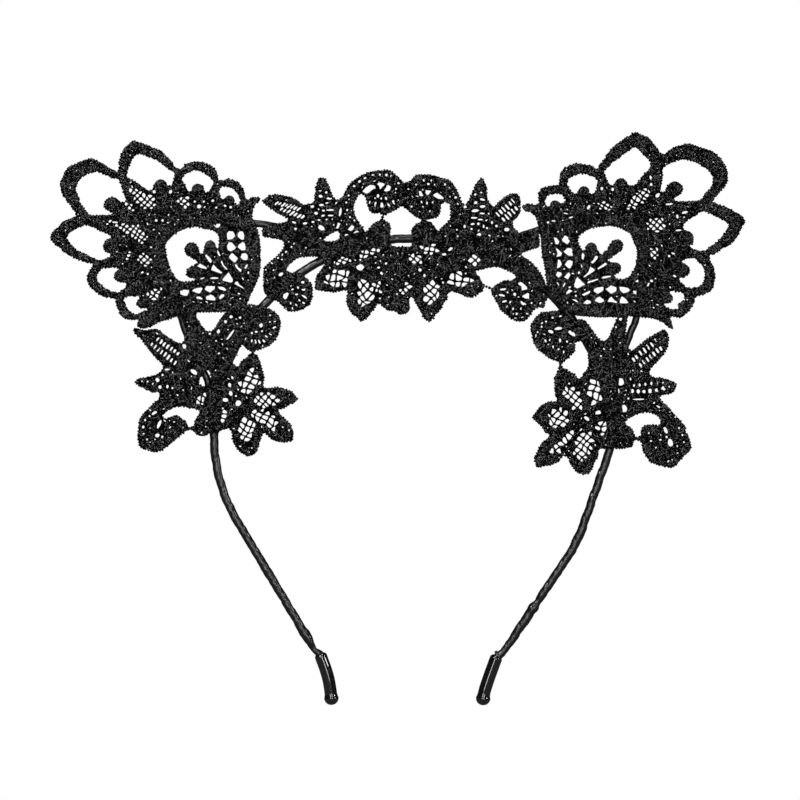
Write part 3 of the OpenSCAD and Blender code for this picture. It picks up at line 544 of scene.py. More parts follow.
def thread_material(name, dark, light, rough, scale, sheen=0.25, bump=0.35, twist=900.0, glow=1.0, vary=0.0):
    m, nt, b = new_material(name)
    tc = nt.nodes.new("ShaderNodeTexCoord")
    noise = nt.nodes.new("ShaderNodeTexNoise")
    noise.inputs["Scale"].default_value = scale
    noise.inputs["Detail"].default_value = 4.0
    nt.links.new(tc.outputs["Object"], noise.inputs["Vector"])
    ramp = nt.nodes.new("ShaderNodeValToRGB")
    ramp.color_ramp.elements[0].position = 0.35
    ramp.color_ramp.elements[1].position = 0.72
    nt.links.new(noise.outputs["Fac"], ramp.inputs["Fac"])
    nt.links.new(mix_color(nt, ramp.outputs["Color"], dark, light), b.inputs["Base Color"])
    fine = nt.nodes.new("ShaderNodeTexNoise")
    fine.inputs["Scale"].default_value = twist * 6
    fine.inputs["Detail"].default_value = 2.0
    nt.links.new(tc.outputs["Object"], fine.inputs["Vector"])
    bp = nt.nodes.new("ShaderNodeBump")
    bp.inputs["Strength"].default_value = bump
    bp.inputs["Distance"].default_value = 0.0002
    nt.links.new(fine.outputs["Fac"], bp.inputs["Height"])
    nt.links.new(bp.outputs["Normal"], b.inputs["Normal"])
    mr = nt.nodes.new("ShaderNodeMapRange")
    mr.inputs["To Min"].default_value = rough - 0.12
    mr.inputs["To Max"].default_value = rough + 0.15
    nt.links.new(noise.outputs["Fac"], mr.inputs["Value"])
    nt.links.new(mr.outputs["Result"], b.inputs["Roughness"])
    glint = nt.nodes.new("ShaderNodeTexNoise")
    glint.inputs["Scale"].default_value = scale * 1.7
    glint.inputs["Detail"].default_value = 1.0
    nt.links.new(tc.outputs["Object"], glint.inputs["Vector"])
    shine = nt.nodes.new("ShaderNodeMapRange")
    shine.inputs["From Min"].default_value = 0.46
    shine.inputs["From Max"].default_value = 0.6
    shine.inputs["To Min"].default_value = 0.0
    shine.inputs["To Max"].default_value = glow
    each = nt.nodes.new("ShaderNodeNewGeometry")
    shift = nt.nodes.new("ShaderNodeMath")
    shift.operation = "MULTIPLY_ADD"
    shift.inputs[1].default_value = vary
    shift.inputs[2].default_value = -vary / 2
    nt.links.new(each.outputs["Random Per Island"], shift.inputs[0])
    total = nt.nodes.new("ShaderNodeMath")
    nt.links.new(glint.outputs["Fac"], total.inputs[0])
    nt.links.new(shift.outputs[0], total.inputs[1])
    nt.links.new(total.outputs[0], shine.inputs["Value"])
    nt.links.new(shine.outputs["Result"], b.inputs["Specular IOR Level"])
    b.inputs["IOR"].default_value = 1.65
    b.inputs["Sheen Weight"].default_value = sheen
    b.inputs["Sheen Roughness"].default_value = 0.5
    return m


def satin_material():
    m, nt, b = new_material("satin_ribbon")
    tc = nt.nodes.new("ShaderNodeTexCoord")
    noise = nt.nodes.new("ShaderNodeTexNoise")
    noise.inputs["Scale"].default_value = 260.0
    noise.inputs["Detail"].default_value = 3.0
    nt.links.new(tc.outputs["Object"], noise.inputs["Vector"])
    nt.links.new(mix_color(nt, noise.outputs["Fac"], (0.002, 0.002, 0.0025, 1), (0.008, 0.008, 0.009, 1)), b.inputs["Base Color"])
    weave = nt.nodes.new("ShaderNodeTexWave")
    weave.inputs["Scale"].default_value = 700.0
    weave.inputs["Distortion"].default_value = 1.0
    nt.links.new(tc.outputs["Object"], weave.inputs["Vector"])
    bp = nt.nodes.new("ShaderNodeBump")
    bp.inputs["Strength"].default_value = 0.04
    bp.inputs["Distance"].default_value = 0.0001
    nt.links.new(weave.outputs["Fac"], bp.inputs["Height"])
    crease = nt.nodes.new("ShaderNodeBump")
    crease.inputs["Strength"].default_value = 0.35
    crease.inputs["Distance"].default_value = 0.0006
    nt.links.new(noise.outputs["Fac"], crease.inputs["Height"])
    nt.links.new(bp.outputs["Normal"], crease.inputs["Normal"])
    nt.links.new(crease.outputs["Normal"], b.inputs["Normal"])
    mr = nt.nodes.new("ShaderNodeMapRange")
    mr.inputs["To Min"].default_value = 0.24
    mr.inputs["To Max"].default_value = 0.36
    nt.links.new(noise.outputs["Fac"], mr.inputs["Value"])
    nt.links.new(mr.outputs["Result"], b.inputs["Roughness"])
    b.inputs["Specular IOR Level"].default_value = 1.0
    return m


def gloss_material():
    m, nt, b = new_material("cap_plastic")
    tc = nt.nodes.new("ShaderNodeTexCoord")
    noise = nt.nodes.new("ShaderNodeTexNoise")
    noise.inputs["Scale"].default_value = 180.0
    noise.inputs["Detail"].default_value = 2.0
    nt.links.new(tc.outputs["Object"], noise.inputs["Vector"])
    nt.links.new(mix_color(nt, noise.outputs["Fac"], (0.004, 0.004, 0.0045, 1), (0.009, 0.009, 0.01, 1)), b.inputs["Base Color"])
    bp = nt.nodes.new("ShaderNodeBump")
    bp.inputs["Strength"].default_value = 0.015
    bp.inputs["Distance"].default_value = 0.0004
    nt.links.new(noise.outputs["Fac"], bp.inputs["Height"])
    nt.links.new(bp.outputs["Normal"], b.inputs["Normal"])
    mr = nt.nodes.new("ShaderNodeMapRange")
    mr.inputs["To Min"].default_value = 0.08
    mr.inputs["To Max"].default_value = 0.11
    nt.links.new(noise.outputs["Fac"], mr.inputs["Value"])
    nt.links.new(mr.outputs["Result"], b.inputs["Roughness"])
    b.inputs["Specular IOR Level"].default_value = 1.0
    b.inputs["Coat Weight"].default_value = 1.0
    b.inputs["Coat Roughness"].default_value = 0.05
    return m


def steel_material():
    m, nt, b = new_material("spring_wire")
    tc = nt.nodes.new("ShaderNodeTexCoord")
    noise = nt.nodes.new("ShaderNodeTexNoise")
    noise.inputs["Scale"].default_value = 300.0
    nt.links.new(tc.outputs["Object"], noise.inputs["Vector"])
    nt.links.new(mix_color(nt, noise.outputs["Fac"], (0.35, 0.36, 0.38, 1), (0.5, 0.51, 0.53, 1)), b.inputs["Base Color"])
    b.inputs["Metallic"].default_value = 1.0
    mr = nt.nodes.new("ShaderNodeMapRange")
    mr.inputs["To Min"].default_value = 0.28
    mr.inputs["To Max"].default_value = 0.4
    nt.links.new(noise.outputs["Fac"], mr.inputs["Value"])
    nt.links.new(mr.outputs["Result"], b.inputs["Roughness"])
    return m


def floor_material():
    m, nt, b = new_material("paper_floor")
    tc = nt.nodes.new("ShaderNodeTexCoord")
    noise = nt.nodes.new("ShaderNodeTexNoise")
    noise.inputs["Scale"].default_value = 3.0
    nt.links.new(tc.outputs["Object"], noise.inputs["Vector"])
    nt.links.new(mix_color(nt, noise.outputs["Fac"], (0.2, 0.2, 0.2, 1), (0.22, 0.22, 0.22, 1)), b.inputs["Base Color"])
    b.inputs["Roughness"].default_value = 0.9
    b.inputs["Specular IOR Level"].default_value = 0.0
    glow = nt.nodes.new("ShaderNodeEmission")
    glow.inputs["Strength"].default_value = 1.0
    path = nt.nodes.new("ShaderNodeLightPath")
    both = nt.nodes.new("ShaderNodeMixShader")
    nt.links.new(path.outputs["Is Camera Ray"], both.inputs[0])
    nt.links.new(b.outputs[0], both.inputs[1])
    nt.links.new(glow.outputs[0], both.inputs[2])
    nt.links.new(both.outputs[0], nt.nodes["Material Output"].inputs["Surface"])
    return m


LACE = thread_material("guipure_thread", (0.0003, 0.0003, 0.0004, 1), (0.004, 0.004, 0.0045, 1), 0.28, 1150.0, 0.0, 0.5, 900.0, 0.9)
GROUND = thread_material("guipure_ground", (0.0004, 0.0004, 0.0004, 1), (0.002, 0.002, 0.002, 1), 0.6, 1100.0, 0.0, 0.8, 900.0, 0.1)
FILL = thread_material("guipure_fill", (0.0003, 0.0003, 0.0004, 1), (0.004, 0.004, 0.0045, 1), 0.26, 1150.0, 0.0, 0.5, 900.0, 1.0, 0.24)
SEWING = thread_material("sewing_thread", (0.008, 0.008, 0.009, 1), (0.02, 0.02, 0.022, 1), 0.45, 700.0)
SATIN, GLOSS, STEEL = satin_material(), gloss_material(), steel_material()


def finish_piece(o, mat, body=None):
    o.data.materials.clear()
    o.data.materials.append(mat)
    if body:
        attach(o, body)
    return o


# ---------------------------------------------------------------- lace
def ground_piece(name, reg, y, half, to_world):
    """The thin middle of the lace, with its openings."""
    cu = bpy.data.curves.new(name + "_2d", "CURVE")
    cu.dimensions = "2D"
    cu.fill_mode = "BOTH"
    cu.extrude = half * 0.001
    for i, ring in enumerate(reg.rings + reg.cells):
        n = np.stack([-tangents(ring, True)[:, 1], tangents(ring, True)[:, 0]], 1)
        if i < len(reg.rings):
            test = ring + n * 0.15
            sign = 1.0 if reg.inside(test).mean() > 0.5 else -1.0
            ring = ring + n * sign * 0.3
        sp = cu.splines.new("POLY")
        sp.points.add(len(ring) - 1)
        co = np.zeros((len(ring), 4), np.float32)
        co[:, :2] = ring * 0.001
        co[:, 3] = 1
        sp.points.foreach_set("co", co.ravel())
        sp.use_cyclic_u = True
    tmp = bpy.data.objects.new(name + "_2d", cu)
    bpy.context.scene.collection.objects.link(tmp)
    bpy.context.view_layer.update()
    me = bpy.data.meshes.new_from_object(tmp.evaluated_get(bpy.context.evaluated_depsgraph_get()))
    bpy.data.objects.remove(tmp)
    v = np.zeros(len(me.vertices) * 3)
    me.vertices.foreach_get("co", v)
    v = v.reshape(-1, 3) * 1000
    w = to_world(np.stack([v[:, 0], y - v[:, 2], v[:, 1]], 1))
    me.vertices.foreach_set("co", (w * 0.001).ravel())
    me.name = name
    me.update()
    o = bpy.data.objects.new(name, me)
    bpy.context.scene.collection.objects.link(o)
    import bmesh
    bm = bmesh.new()
    bm.from_mesh(me)
    bmesh.ops.remove_doubles(bm, verts=bm.verts, dist=1e-6)
    bmesh.ops.recalc_face_normals(bm, faces=bm.faces)
    bm.to_mesh(me)
    bm.free()
    return o


def edge_threads(th, reg, y, half, to_world, step=0.95, r=0.36, deep=2.6, widest=5.0):
    """Overcast stitches: each goes over the edge, and across to the other edge if that is near."""
    for ring in reg.rings:
        p = spaced(ring, step, True)
        p = p + rng.normal(0, 0.06, p.shape)
        t = tangents(p, True)
        n = np.stack([-t[:, 1], t[:, 0]], 1)
        if reg.inside(p + n * 0.3).mean() < 0.5:
            n = -n
        ang = rng.normal(0, 0.16, len(p)) + 0.12
        c, s = np.cos(ang), np.sin(ang)
        d = np.stack([n[:, 0] * c - n[:, 1] * s, n[:, 0] * s + n[:, 1] * c], 1)
        steps = np.arange(0.4, widest + 0.01, 0.2)
        q = p[:, None] + d[:, None] * steps[None, :, None]
        ins = reg.inside(q.reshape(-1, 2)).reshape(len(p), -1)
        out = np.where(ins.all(1), len(steps), (~ins).argmax(1))
        length = np.where(out >= len(steps), 99, 0.4 + out * 0.2)
        over = rng.uniform(-0.05, 0.5, len(p)) * (0.35 + 0.65 * (rng.random(len(p)) < 0.35))
        for k in range(len(p)):
            if out[k] == 0:
                continue
            a = p[k] - d[k] * over[k] * 0.6
            h = half * rng.uniform(0.86, 1.05)
            if length[k] < widest:
                b = p[k] + d[k] * (length[k] + rng.uniform(-0.1, 0.2))
                m, w = (a + b) / 2, np.linalg.norm(b - a) / 2
                f = np.arange(12) / 12 * 2 * np.pi
                cx, sy = np.cos(f), np.sin(f)
                cx = np.sign(cx) * np.abs(cx) ** 0.8
                sy = np.sign(sy) * np.abs(sy) ** 0.7
                e = (b - a) / (2 * w)
                xz = m + e * (cx * (w - r))[:, None]
                line = np.stack([xz[:, 0], y + sy * (h - r), xz[:, 1]], 1)
                nor = np.stack([e[0] * cx, sy, e[1] * cx], 1)
                th.add(to_world(line), r, nor, closed=True)
            else:
                l = rng.uniform(0.65, 1.1) * deep
                l2 = rng.uniform(0.65, 1.1) * deep
                e = d[k]
                f = np.array([l, l * 0.75, l * 0.45, 0.55, 0.12, 0.0, 0.12, 0.55, l2 * 0.5, l2]) + r
                yy = np.array([-0.35, -0.8, -1.0, -0.95, -0.55, 0.0, 0.55, 0.95, 0.9, 0.3]) * (h - r)
                xz = a + e * f[:, None]
                line = np.stack([xz[:, 0], y + yy, xz[:, 1]], 1)
                nor = np.stack([-e[0] * (1 - np.minimum(f, 1)), yy, -e[1] * (1 - np.minimum(f, 1))], 1)
                th.add(to_world(line), r, nor)


def fill_threads(th, reg, y, half, to_world, count, r=0.25, back=0.35, length=(1.8, 4.2)):
    """Short stitches that lie across the motif's parts, with some the other way."""
    lo, hi = reg.rings[0].min(0), reg.rings[0].max(0)
    seeds = rng.uniform(lo, hi, (count * 5, 2))
    seeds = seeds[reg.inside(seeds)]
    d, g = reg.near(seeds)
    seeds, d, g = seeds[d > 0.45][:count], d[d > 0.45][:count], g[d > 0.45][:count]
    n = len(seeds)
    turn = np.where(rng.random(n) < 0.3, math.pi / 2, 0) + rng.normal(0, 0.35, n)
    e = np.stack([g[:, 0] * np.cos(turn) - g[:, 1] * np.sin(turn), g[:, 0] * np.sin(turn) + g[:, 1] * np.cos(turn)], 1)
    half_l = rng.uniform(*length, n) / 2
    t = np.linspace(-1, 1, 13)
    q = seeds[:, None] + e[:, None] * (half_l[:, None] * t[None])[:, :, None]
    ok = reg.inside(q.reshape(-1, 2)).reshape(n, -1)
    dd, _ = reg.near(q.reshape(-1, 2))
    ok &= (dd.reshape(n, -1) > r * 0.8)
    lo_i = np.full(n, 6)
    hi_i = np.full(n, 6)
    for k in range(5, -1, -1):
        lo_i = np.where(ok[:, k] & (lo_i == k + 1), k, lo_i)
    for k in range(7, 13):
        hi_i = np.where(ok[:, k] & (hi_i == k - 1), k, hi_i)
    t0, t1 = t[lo_i], t[hi_i]
    keep = (t1 - t0) * half_l > 0.5
    seeds, e, half_l, t0, t1 = seeds[keep], e[keep], half_l[keep], t0[keep], t1[keep]
    n = len(seeds)
    m = 6
    s = np.linspace(0, 1, m)
    tt = (t0[:, None] + (t1 - t0)[:, None] * s[None]) * half_l[:, None]
    bow = rng.normal(0, 0.12, (n, 1)) * np.sin(np.pi * s)[None]
    xz = seeds[:, None] + e[:, None] * tt[:, :, None] + np.stack([-e[:, 1], e[:, 0]], 1)[:, None] * bow[:, :, None]
    side = np.where(rng.random(n) < back, 1.0, -1.0)
    top = rng.uniform(0.45, 1.0, n) * (half - r)
    yy = side[:, None] * (top[:, None] * (0.5 + 0.5 * np.sin(np.pi * s)[None] ** 0.6))
    line = np.stack([xz[:, :, 0], y + yy, xz[:, :, 1]], 2)
    th.add(to_world(line), r * rng.uniform(0.8, 1.15, (n, 1)))


def rim_threads(th, reg, y, to_world):
    """One thread round each opening, thinner round the small ones."""
    for c in reg.cells:
        m = c.mean(0)
        d = np.roll(c, -1, 0)
        a = abs((c[:, 0] * d[:, 1] - c[:, 1] * d[:, 0]).sum()) / 2
        r = min(0.2, max(0.09, 0.5 * a / np.linalg.norm(d - c, axis=1).sum()))
        q = m + (c - m) * (1 + 0.14 / max(np.linalg.norm(c - m, axis=1).mean(), 0.2))
        line = np.stack([q[:, 0], y + rng.normal(0, 0.12, len(q)) - 0.25, q[:, 1]], 1)
        th.add(to_world(line), r, closed=True)


def knob(th, u, v, rad, y, half, to_world):
    """A raised round knot."""
    c = flat([[u, v]])[0]
    R = rad * CHART
    turns = 3.2
    a = np.linspace(0, turns * 2 * np.pi, int(turns * 12))
    k = a / a[-1]
    for sgn in (-1, 1):
        rr = (R - 0.3) * (1 - k * 0.85)
        yy = sgn * (half * 0.45 + half * 0.75 * np.sin(k * np.pi / 2) * 1.0)
        line = np.stack([c[0] + rr * np.cos(a), y + yy, c[1] + rr * np.sin(a)], 1)
        th.add(to_world(line), 0.34)


def motif(name, node, body, holes, cells, nets, pins, y, count, knobs=(), to_world=lambda v: v, shapes=()):
    reg = Region(body, holes, cells, nets, pins, shapes)
    half = LACE_T / 2
    g = ground_piece(name + "_ground", reg, y, 0.38, to_world)
    finish_piece(g, GROUND, "band")
    edge = Threads(5)
    edge_threads(edge, reg, y, half, to_world)
    for k in knobs:
        knob(edge, k[0], k[1], k[2], y, half, to_world)
    rim_threads(edge, reg, y, to_world)
    e = finish_piece(edge.object(name + "_overcast"), LACE, "band")
    fill = Threads(4)
    fill_threads(fill, reg, y, half, to_world, count)
    f = finish_piece(fill.object(name + "_stitching"), FILL, "band")
    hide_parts(node)
    print("LACE", name, "edge tris", sum(len(x) for x in edge.f) * 2, "fill tris", sum(len(x) for x in fill.f) * 2,
          "ground", len(g.data.polygons))
    return g, e, f


LE_KNOBS = [[112, 204, 8], [160, 185, 7], [197, 189, 6.5], [229, 200, 5.5], [110, 246, 7.5], [120, 276, 6], [143, 304, 5],
            [191, 248, 6], [210, 246, 6], [193, 272, 6]]
RE_KNOBS = [[584, 191, 6], [621, 184, 7], [675, 188, 8], [686, 238, 8], [683, 271, 7], [667, 299, 5.5], [555, 205, 5.5],
            [616, 245, 6], [591, 248, 6], [615, 268, 6]]

BAND_LACE_Y = LACE_BACK - LACE_T / 2
# small openings: [u, v, radius] or [u, v, half width, half height, turn]; nets: [outline, pitch, turn]
LE_SHAPES = [
    [[226.8, 232.8], [228.7, 230.6], [233.1, 231.1], [235.3, 235.6], [232.6, 238.9], [227.6, 239.7], [226.8, 236.1]],
    [[239.8, 230.8], [243.1, 231.1], [244.4, 235], [244, 239.4], [241.4, 239.7], [237.6, 236.7], [237.6, 233.3]],
    [[228.7, 241.9], [232, 242.2], [236.2, 247.2], [234.8, 249.4], [230.9, 251.4], [227.6, 250], [226.8, 245.6]],
    [[242.6, 241.7], [244.8, 242.8], [245.9, 247.2], [245.3, 250.3], [241.4, 250.3], [237.6, 247.2], [238.7, 244.4]],
    [[232, 252.8], [234.2, 254.1], [238.7, 258.7], [236.4, 261.7], [234.2, 262.6], [230.3, 259.4], [228.7, 256.7]],
    [[242, 253], [247.3, 252.8], [248.1, 257.8], [247, 260.3], [243.1, 260], [240.3, 257]],
    [[234.8, 264.4], [237, 264.2], [238.7, 267.2], [241.8, 269.4], [241.1, 272.8], [239.2, 271.1], [235.9, 267.8]],
    [[246.4, 263.9], [248.7, 264.4], [246.4, 268.9], [244.2, 268.3]],
    [[215.3, 222.2], [220, 222.6], [220.3, 225.6], [218.1, 227.8], [215.9, 227.4], [213.3, 224.8]],
    [[228.7, 272.2], [233.1, 278.9], [233.1, 281.7], [230.9, 283], [222, 280.6], [224.8, 276.7]],
    [[235.9, 281.7], [238.1, 281.4], [239.8, 284.4], [245.1, 288.3], [244.2, 289.4], [239.8, 287.2], [234.4, 284.1]],
    [[204.8, 255.6], [206.4, 253.9], [210.3, 257], [212.2, 260.8], [210.9, 263.3], [208.7, 261.7]],
    [[196.9, 266.1], [200.3, 263.3], [204.2, 265.6], [207.3, 267.8], [206.2, 269.4], [200.9, 268.3]],
    [[213.7, 264.1], [217.6, 268.3], [222.9, 272.6], [220.9, 273.9], [210.3, 270], [212.2, 266.7]],
    [[221.4, 260.3], [222.6, 261.1], [224.2, 265], [228.1, 269.2], [227, 270], [224.2, 268.1], [220.9, 262.8]],
    [[217.6, 249.4], [219.2, 252.2], [220.9, 256.1], [218.9, 255.9], [217, 252.2]],
    [[200, 278.4], [204.2, 277.2], [204.8, 278.6], [201, 279.9]], [[209.2, 278.5], [213, 277.1], [218, 277.4], [218.6, 279], [213, 279.3]],
    [[180.3, 291.1], [183.1, 289.7], [189.2, 290], [189.2, 292.8], [187.6, 296.1], [184.2, 296.1], [180.7, 294.4]],
    [[195.3, 288.3], [202, 287.4], [203.1, 288.9], [200.9, 292.8], [199.2, 294.1], [192, 291.1]],
    [[206.4, 286.1], [215.3, 286.1], [214.8, 289.4], [210.9, 292.8], [208.7, 292.2], [204.8, 289.7]],
    [[218.1, 286.7], [223.1, 286.7], [227, 289.4], [225.3, 291.4], [219.8, 289.7]],
    [[197, 296.7], [200.3, 296.7], [203.1, 298.9], [202, 300.1], [196.4, 298.6]],
    [[210.3, 294.4], [213.1, 295.2], [216.2, 298.3], [215.3, 301.1], [206.4, 300], [206.4, 296.7]],
    [[221.4, 294.4], [224.8, 294.4], [224.2, 297.2], [220.9, 299.7], [218.9, 297.8]],
    [[230.9, 297.8], [234.2, 297.2], [233.7, 298.6], [230.3, 298.9]], [[237.6, 293.3], [239.2, 292.8], [241.1, 294.1], [239.8, 295.6]],
    [[241.5, 277], [244.5, 278.5], [243.5, 280.5]]]
RE_SHAPES = [
    [[553.3, 236.9], [556.4, 237.4], [559.4, 241.1], [558.3, 244.1], [555.3, 244.1]],
    [[565, 234.7], [568.9, 237.4], [569.7, 241.3], [567.2, 244.4], [561.4, 240.4], [563.3, 237.1]],
    [[555, 247.1], [557.8, 248.6], [561.9, 252.7], [561.1, 255.8], [556.1, 257.1], [557.2, 253.6]],
    [[567.2, 247.8], [572.6, 247.8], [572.8, 255.8], [570, 257.1], [563.3, 251.9]],
    [[557.8, 259.3], [560, 259.7], [561.9, 264.1], [560, 267.1], [556.7, 268.6], [557, 263.6]],
    [[567.8, 260.2], [572.8, 260.2], [572.2, 266.3], [568.9, 268.9], [564.4, 264.7]],
    [[557.2, 271.6], [561.1, 272.4], [561.7, 275.2], [558.3, 278], [555.6, 275.2]],
    [[568.9, 271.9], [570.3, 275.2], [567.8, 279.7], [563.3, 276.9]],
    [[556.1, 281.9], [557.8, 282.5], [559.6, 286.2], [558, 286]], [[564.5, 282.6], [565.8, 283], [563.6, 287.2], [561.8, 287]],
    [[577.2, 276.9], [585, 284.7], [583.3, 285.8], [577.2, 288.9], [573.7, 286.9], [574.1, 281.9]],
    [[568.9, 289.3], [572.2, 290.8], [570.8, 292.4], [566.3, 295.2], [565.4, 293]],
    [[575, 294.9], [577, 295.2], [576.4, 297.1], [574.4, 296.6]], [[570.8, 299.3], [575.6, 299.6], [578.6, 303], [576.1, 302.4]],
    [[595.6, 254.8], [598.2, 256.5], [596.7, 260.2], [592.8, 263.8], [590.3, 262.4], [592.8, 259.7]],
    [[604.8, 262.4], [607.6, 264], [603.9, 266.9], [597.8, 270], [597.2, 268.2]],
    [[590, 266.3], [595.9, 270], [589.4, 274.7], [583.3, 278.2], [583.7, 275.8], [587.8, 271.9]],
    [[582.8, 252.3], [584.6, 254.9], [583.3, 260], [581.4, 258.6], [581.3, 254.6]],
    [[610.7, 275.3], [610.1, 277.3], [603.9, 279.1], [601.1, 278.2], [603.3, 276.3]],
    [[598.6, 278.4], [597.2, 280.4], [591.7, 282.6], [587, 283.9], [587.8, 281.4]],
    [[580.2, 262.7], [582.6, 266.3], [581.3, 268]], [[578.5, 271], [580, 272], [579, 274.5], [577.5, 273.5]],
    [[590, 290.4], [589.4, 293.6], [583.9, 296.3], [581.1, 294.7]],
    [[597.2, 287.4], [603.7, 286.7], [602.8, 290.8], [597.8, 294.4], [593.3, 291.6], [593.9, 288.9]],
    [[610.6, 285.2], [616.1, 287.4], [616.3, 291.3], [611.7, 293.8], [610, 293.8], [605, 289.1]],
    [[618.9, 286.7], [627.2, 287.4], [629.7, 290.2], [627.8, 292.4], [623.3, 293.8], [620, 291.3]],
    [[632.8, 290.4], [636.7, 291.3], [641.7, 294.4], [639.4, 296.7], [636.1, 296], [632.2, 293.6]],
    [[637.8, 279.3], [642.8, 279.7], [645.6, 281.9], [642.8, 284.1], [634.4, 281.9]],
    [[647.8, 282.6], [649.4, 283.2], [648, 286.7], [646.4, 286.3]],
    [[586.7, 299.7], [590.8, 301.3], [590, 304.4], [586.1, 304.7], [582.2, 303.6]],
    [[599.4, 296.7], [603.3, 299.7], [603.7, 301.9], [599.4, 303.6], [593.9, 301.1], [596.1, 298]],
    [[611.1, 296.7], [613.9, 300.2], [616.7, 301.9], [615.6, 303.6], [611.7, 302.7], [607, 302.2], [608.9, 298.6]],
    [[621.7, 296.3], [625.6, 299.1], [628.1, 302.7], [626.7, 304.1], [619.2, 303.6], [619.7, 299.1]],
    [[632, 300.5], [634.5, 301], [638.8, 305], [637, 305.3]]]
LE_CELLS = [
    [153.8, 191, 1.9], [170, 191, 1.9], [198.8, 206, 2.2], [194.5, 201, 1.2], [203.5, 201, 1.2], [225, 205, 1.5],
    [230.5, 206.5, 1.4], [212.5, 200, 1.5], [216, 207, 1.2], [142.5, 272.5, 1.6, 1.1, 20], [148, 274, 1.2],
    [156, 220, 1.5], [162.5, 220, 1.4], [126, 203, 1.6, 2.2, 0], [115, 222, 3.2, 1.1, -8]]
LE_NETS = [
    [[[127.5, 182], [140, 189], [152.5, 194], [159, 205], [147.5, 211], [135, 202], [127.8, 191.3]], 4.8, 40],
    [[[124, 205], [131, 202.5], [137, 208.8], [132.5, 214]], 4.4, 35],
    [[[176, 195], [190, 195], [192, 202.5], [184, 209.8], [175, 204]], 4.8, 45],
    [[[100, 219.5], [112, 219.5], [124, 222.5], [138, 224], [149, 238], [141, 244], [127, 234], [112, 227.5]], 4.5, 35],
    [[[136.5, 255], [147.5, 251], [155, 260], [148, 268], [138, 262]], 4.5, 40],
    [[[146.5, 292.5], [160, 285], [165, 291], [156, 302], [148, 299.5]], 4.5, 35],
    [[[122, 256], [131, 250], [133, 256], [126, 262]], 4.2, 20]]
RE_CELLS = [
    [651.3, 176.8, 1.3, 2.4, 10], [651.6, 183.6, 1.7], [658.2, 194.5, 3.2, 2.1, 40], [588.8, 206.7, 1.4, 2.6, -30],
    [602.2, 187.7, 1.5, 2, 0], [613, 188.5, 1.5, 1.9, 0], [669.7, 203.4, 4.3, 1.4, 8], [677.6, 216, 1.4, 2.4, 0],
    [685, 212, 3.2, 1.4, 15], [678.8, 230, 3.4, 1.1, 5], [673, 253.3, 2.1, 1.1, -20], [669, 256, 1.4], [651.3, 281, 1.5],
    [674.7, 276, 1.9, 1.5, 0], [616.3, 244.2, 1.1], [675.5, 187.5, 1.7, 0.9, -10], [548, 222, 1.3], [553.8, 220.5, 2.2, 1, 0],
    [566, 213, 2.6, 0.9, -15], [571, 217, 2.4, 0.9, 20]]
RE_NETS = [
    [[[625.5, 206], [630, 195], [643, 187.5], [651, 186], [651, 192.5], [646, 201], [635, 209.5], [627, 210]], 4.6, 30],
    [[[597, 203.5], [603, 197.5], [612.3, 204.5], [613.2, 210], [601.3, 211]], 4, 35],
    [[[645, 225], [651, 217.3], [661.5, 217.3], [667, 221.7], [665.7, 229.3], [656.3, 232.3], [647.5, 229.8]], 4.6, 40],
    [[[649.5, 248.3], [656.3, 244], [661, 251.7], [657, 259.3], [650.5, 262]], 4.6, 40]]
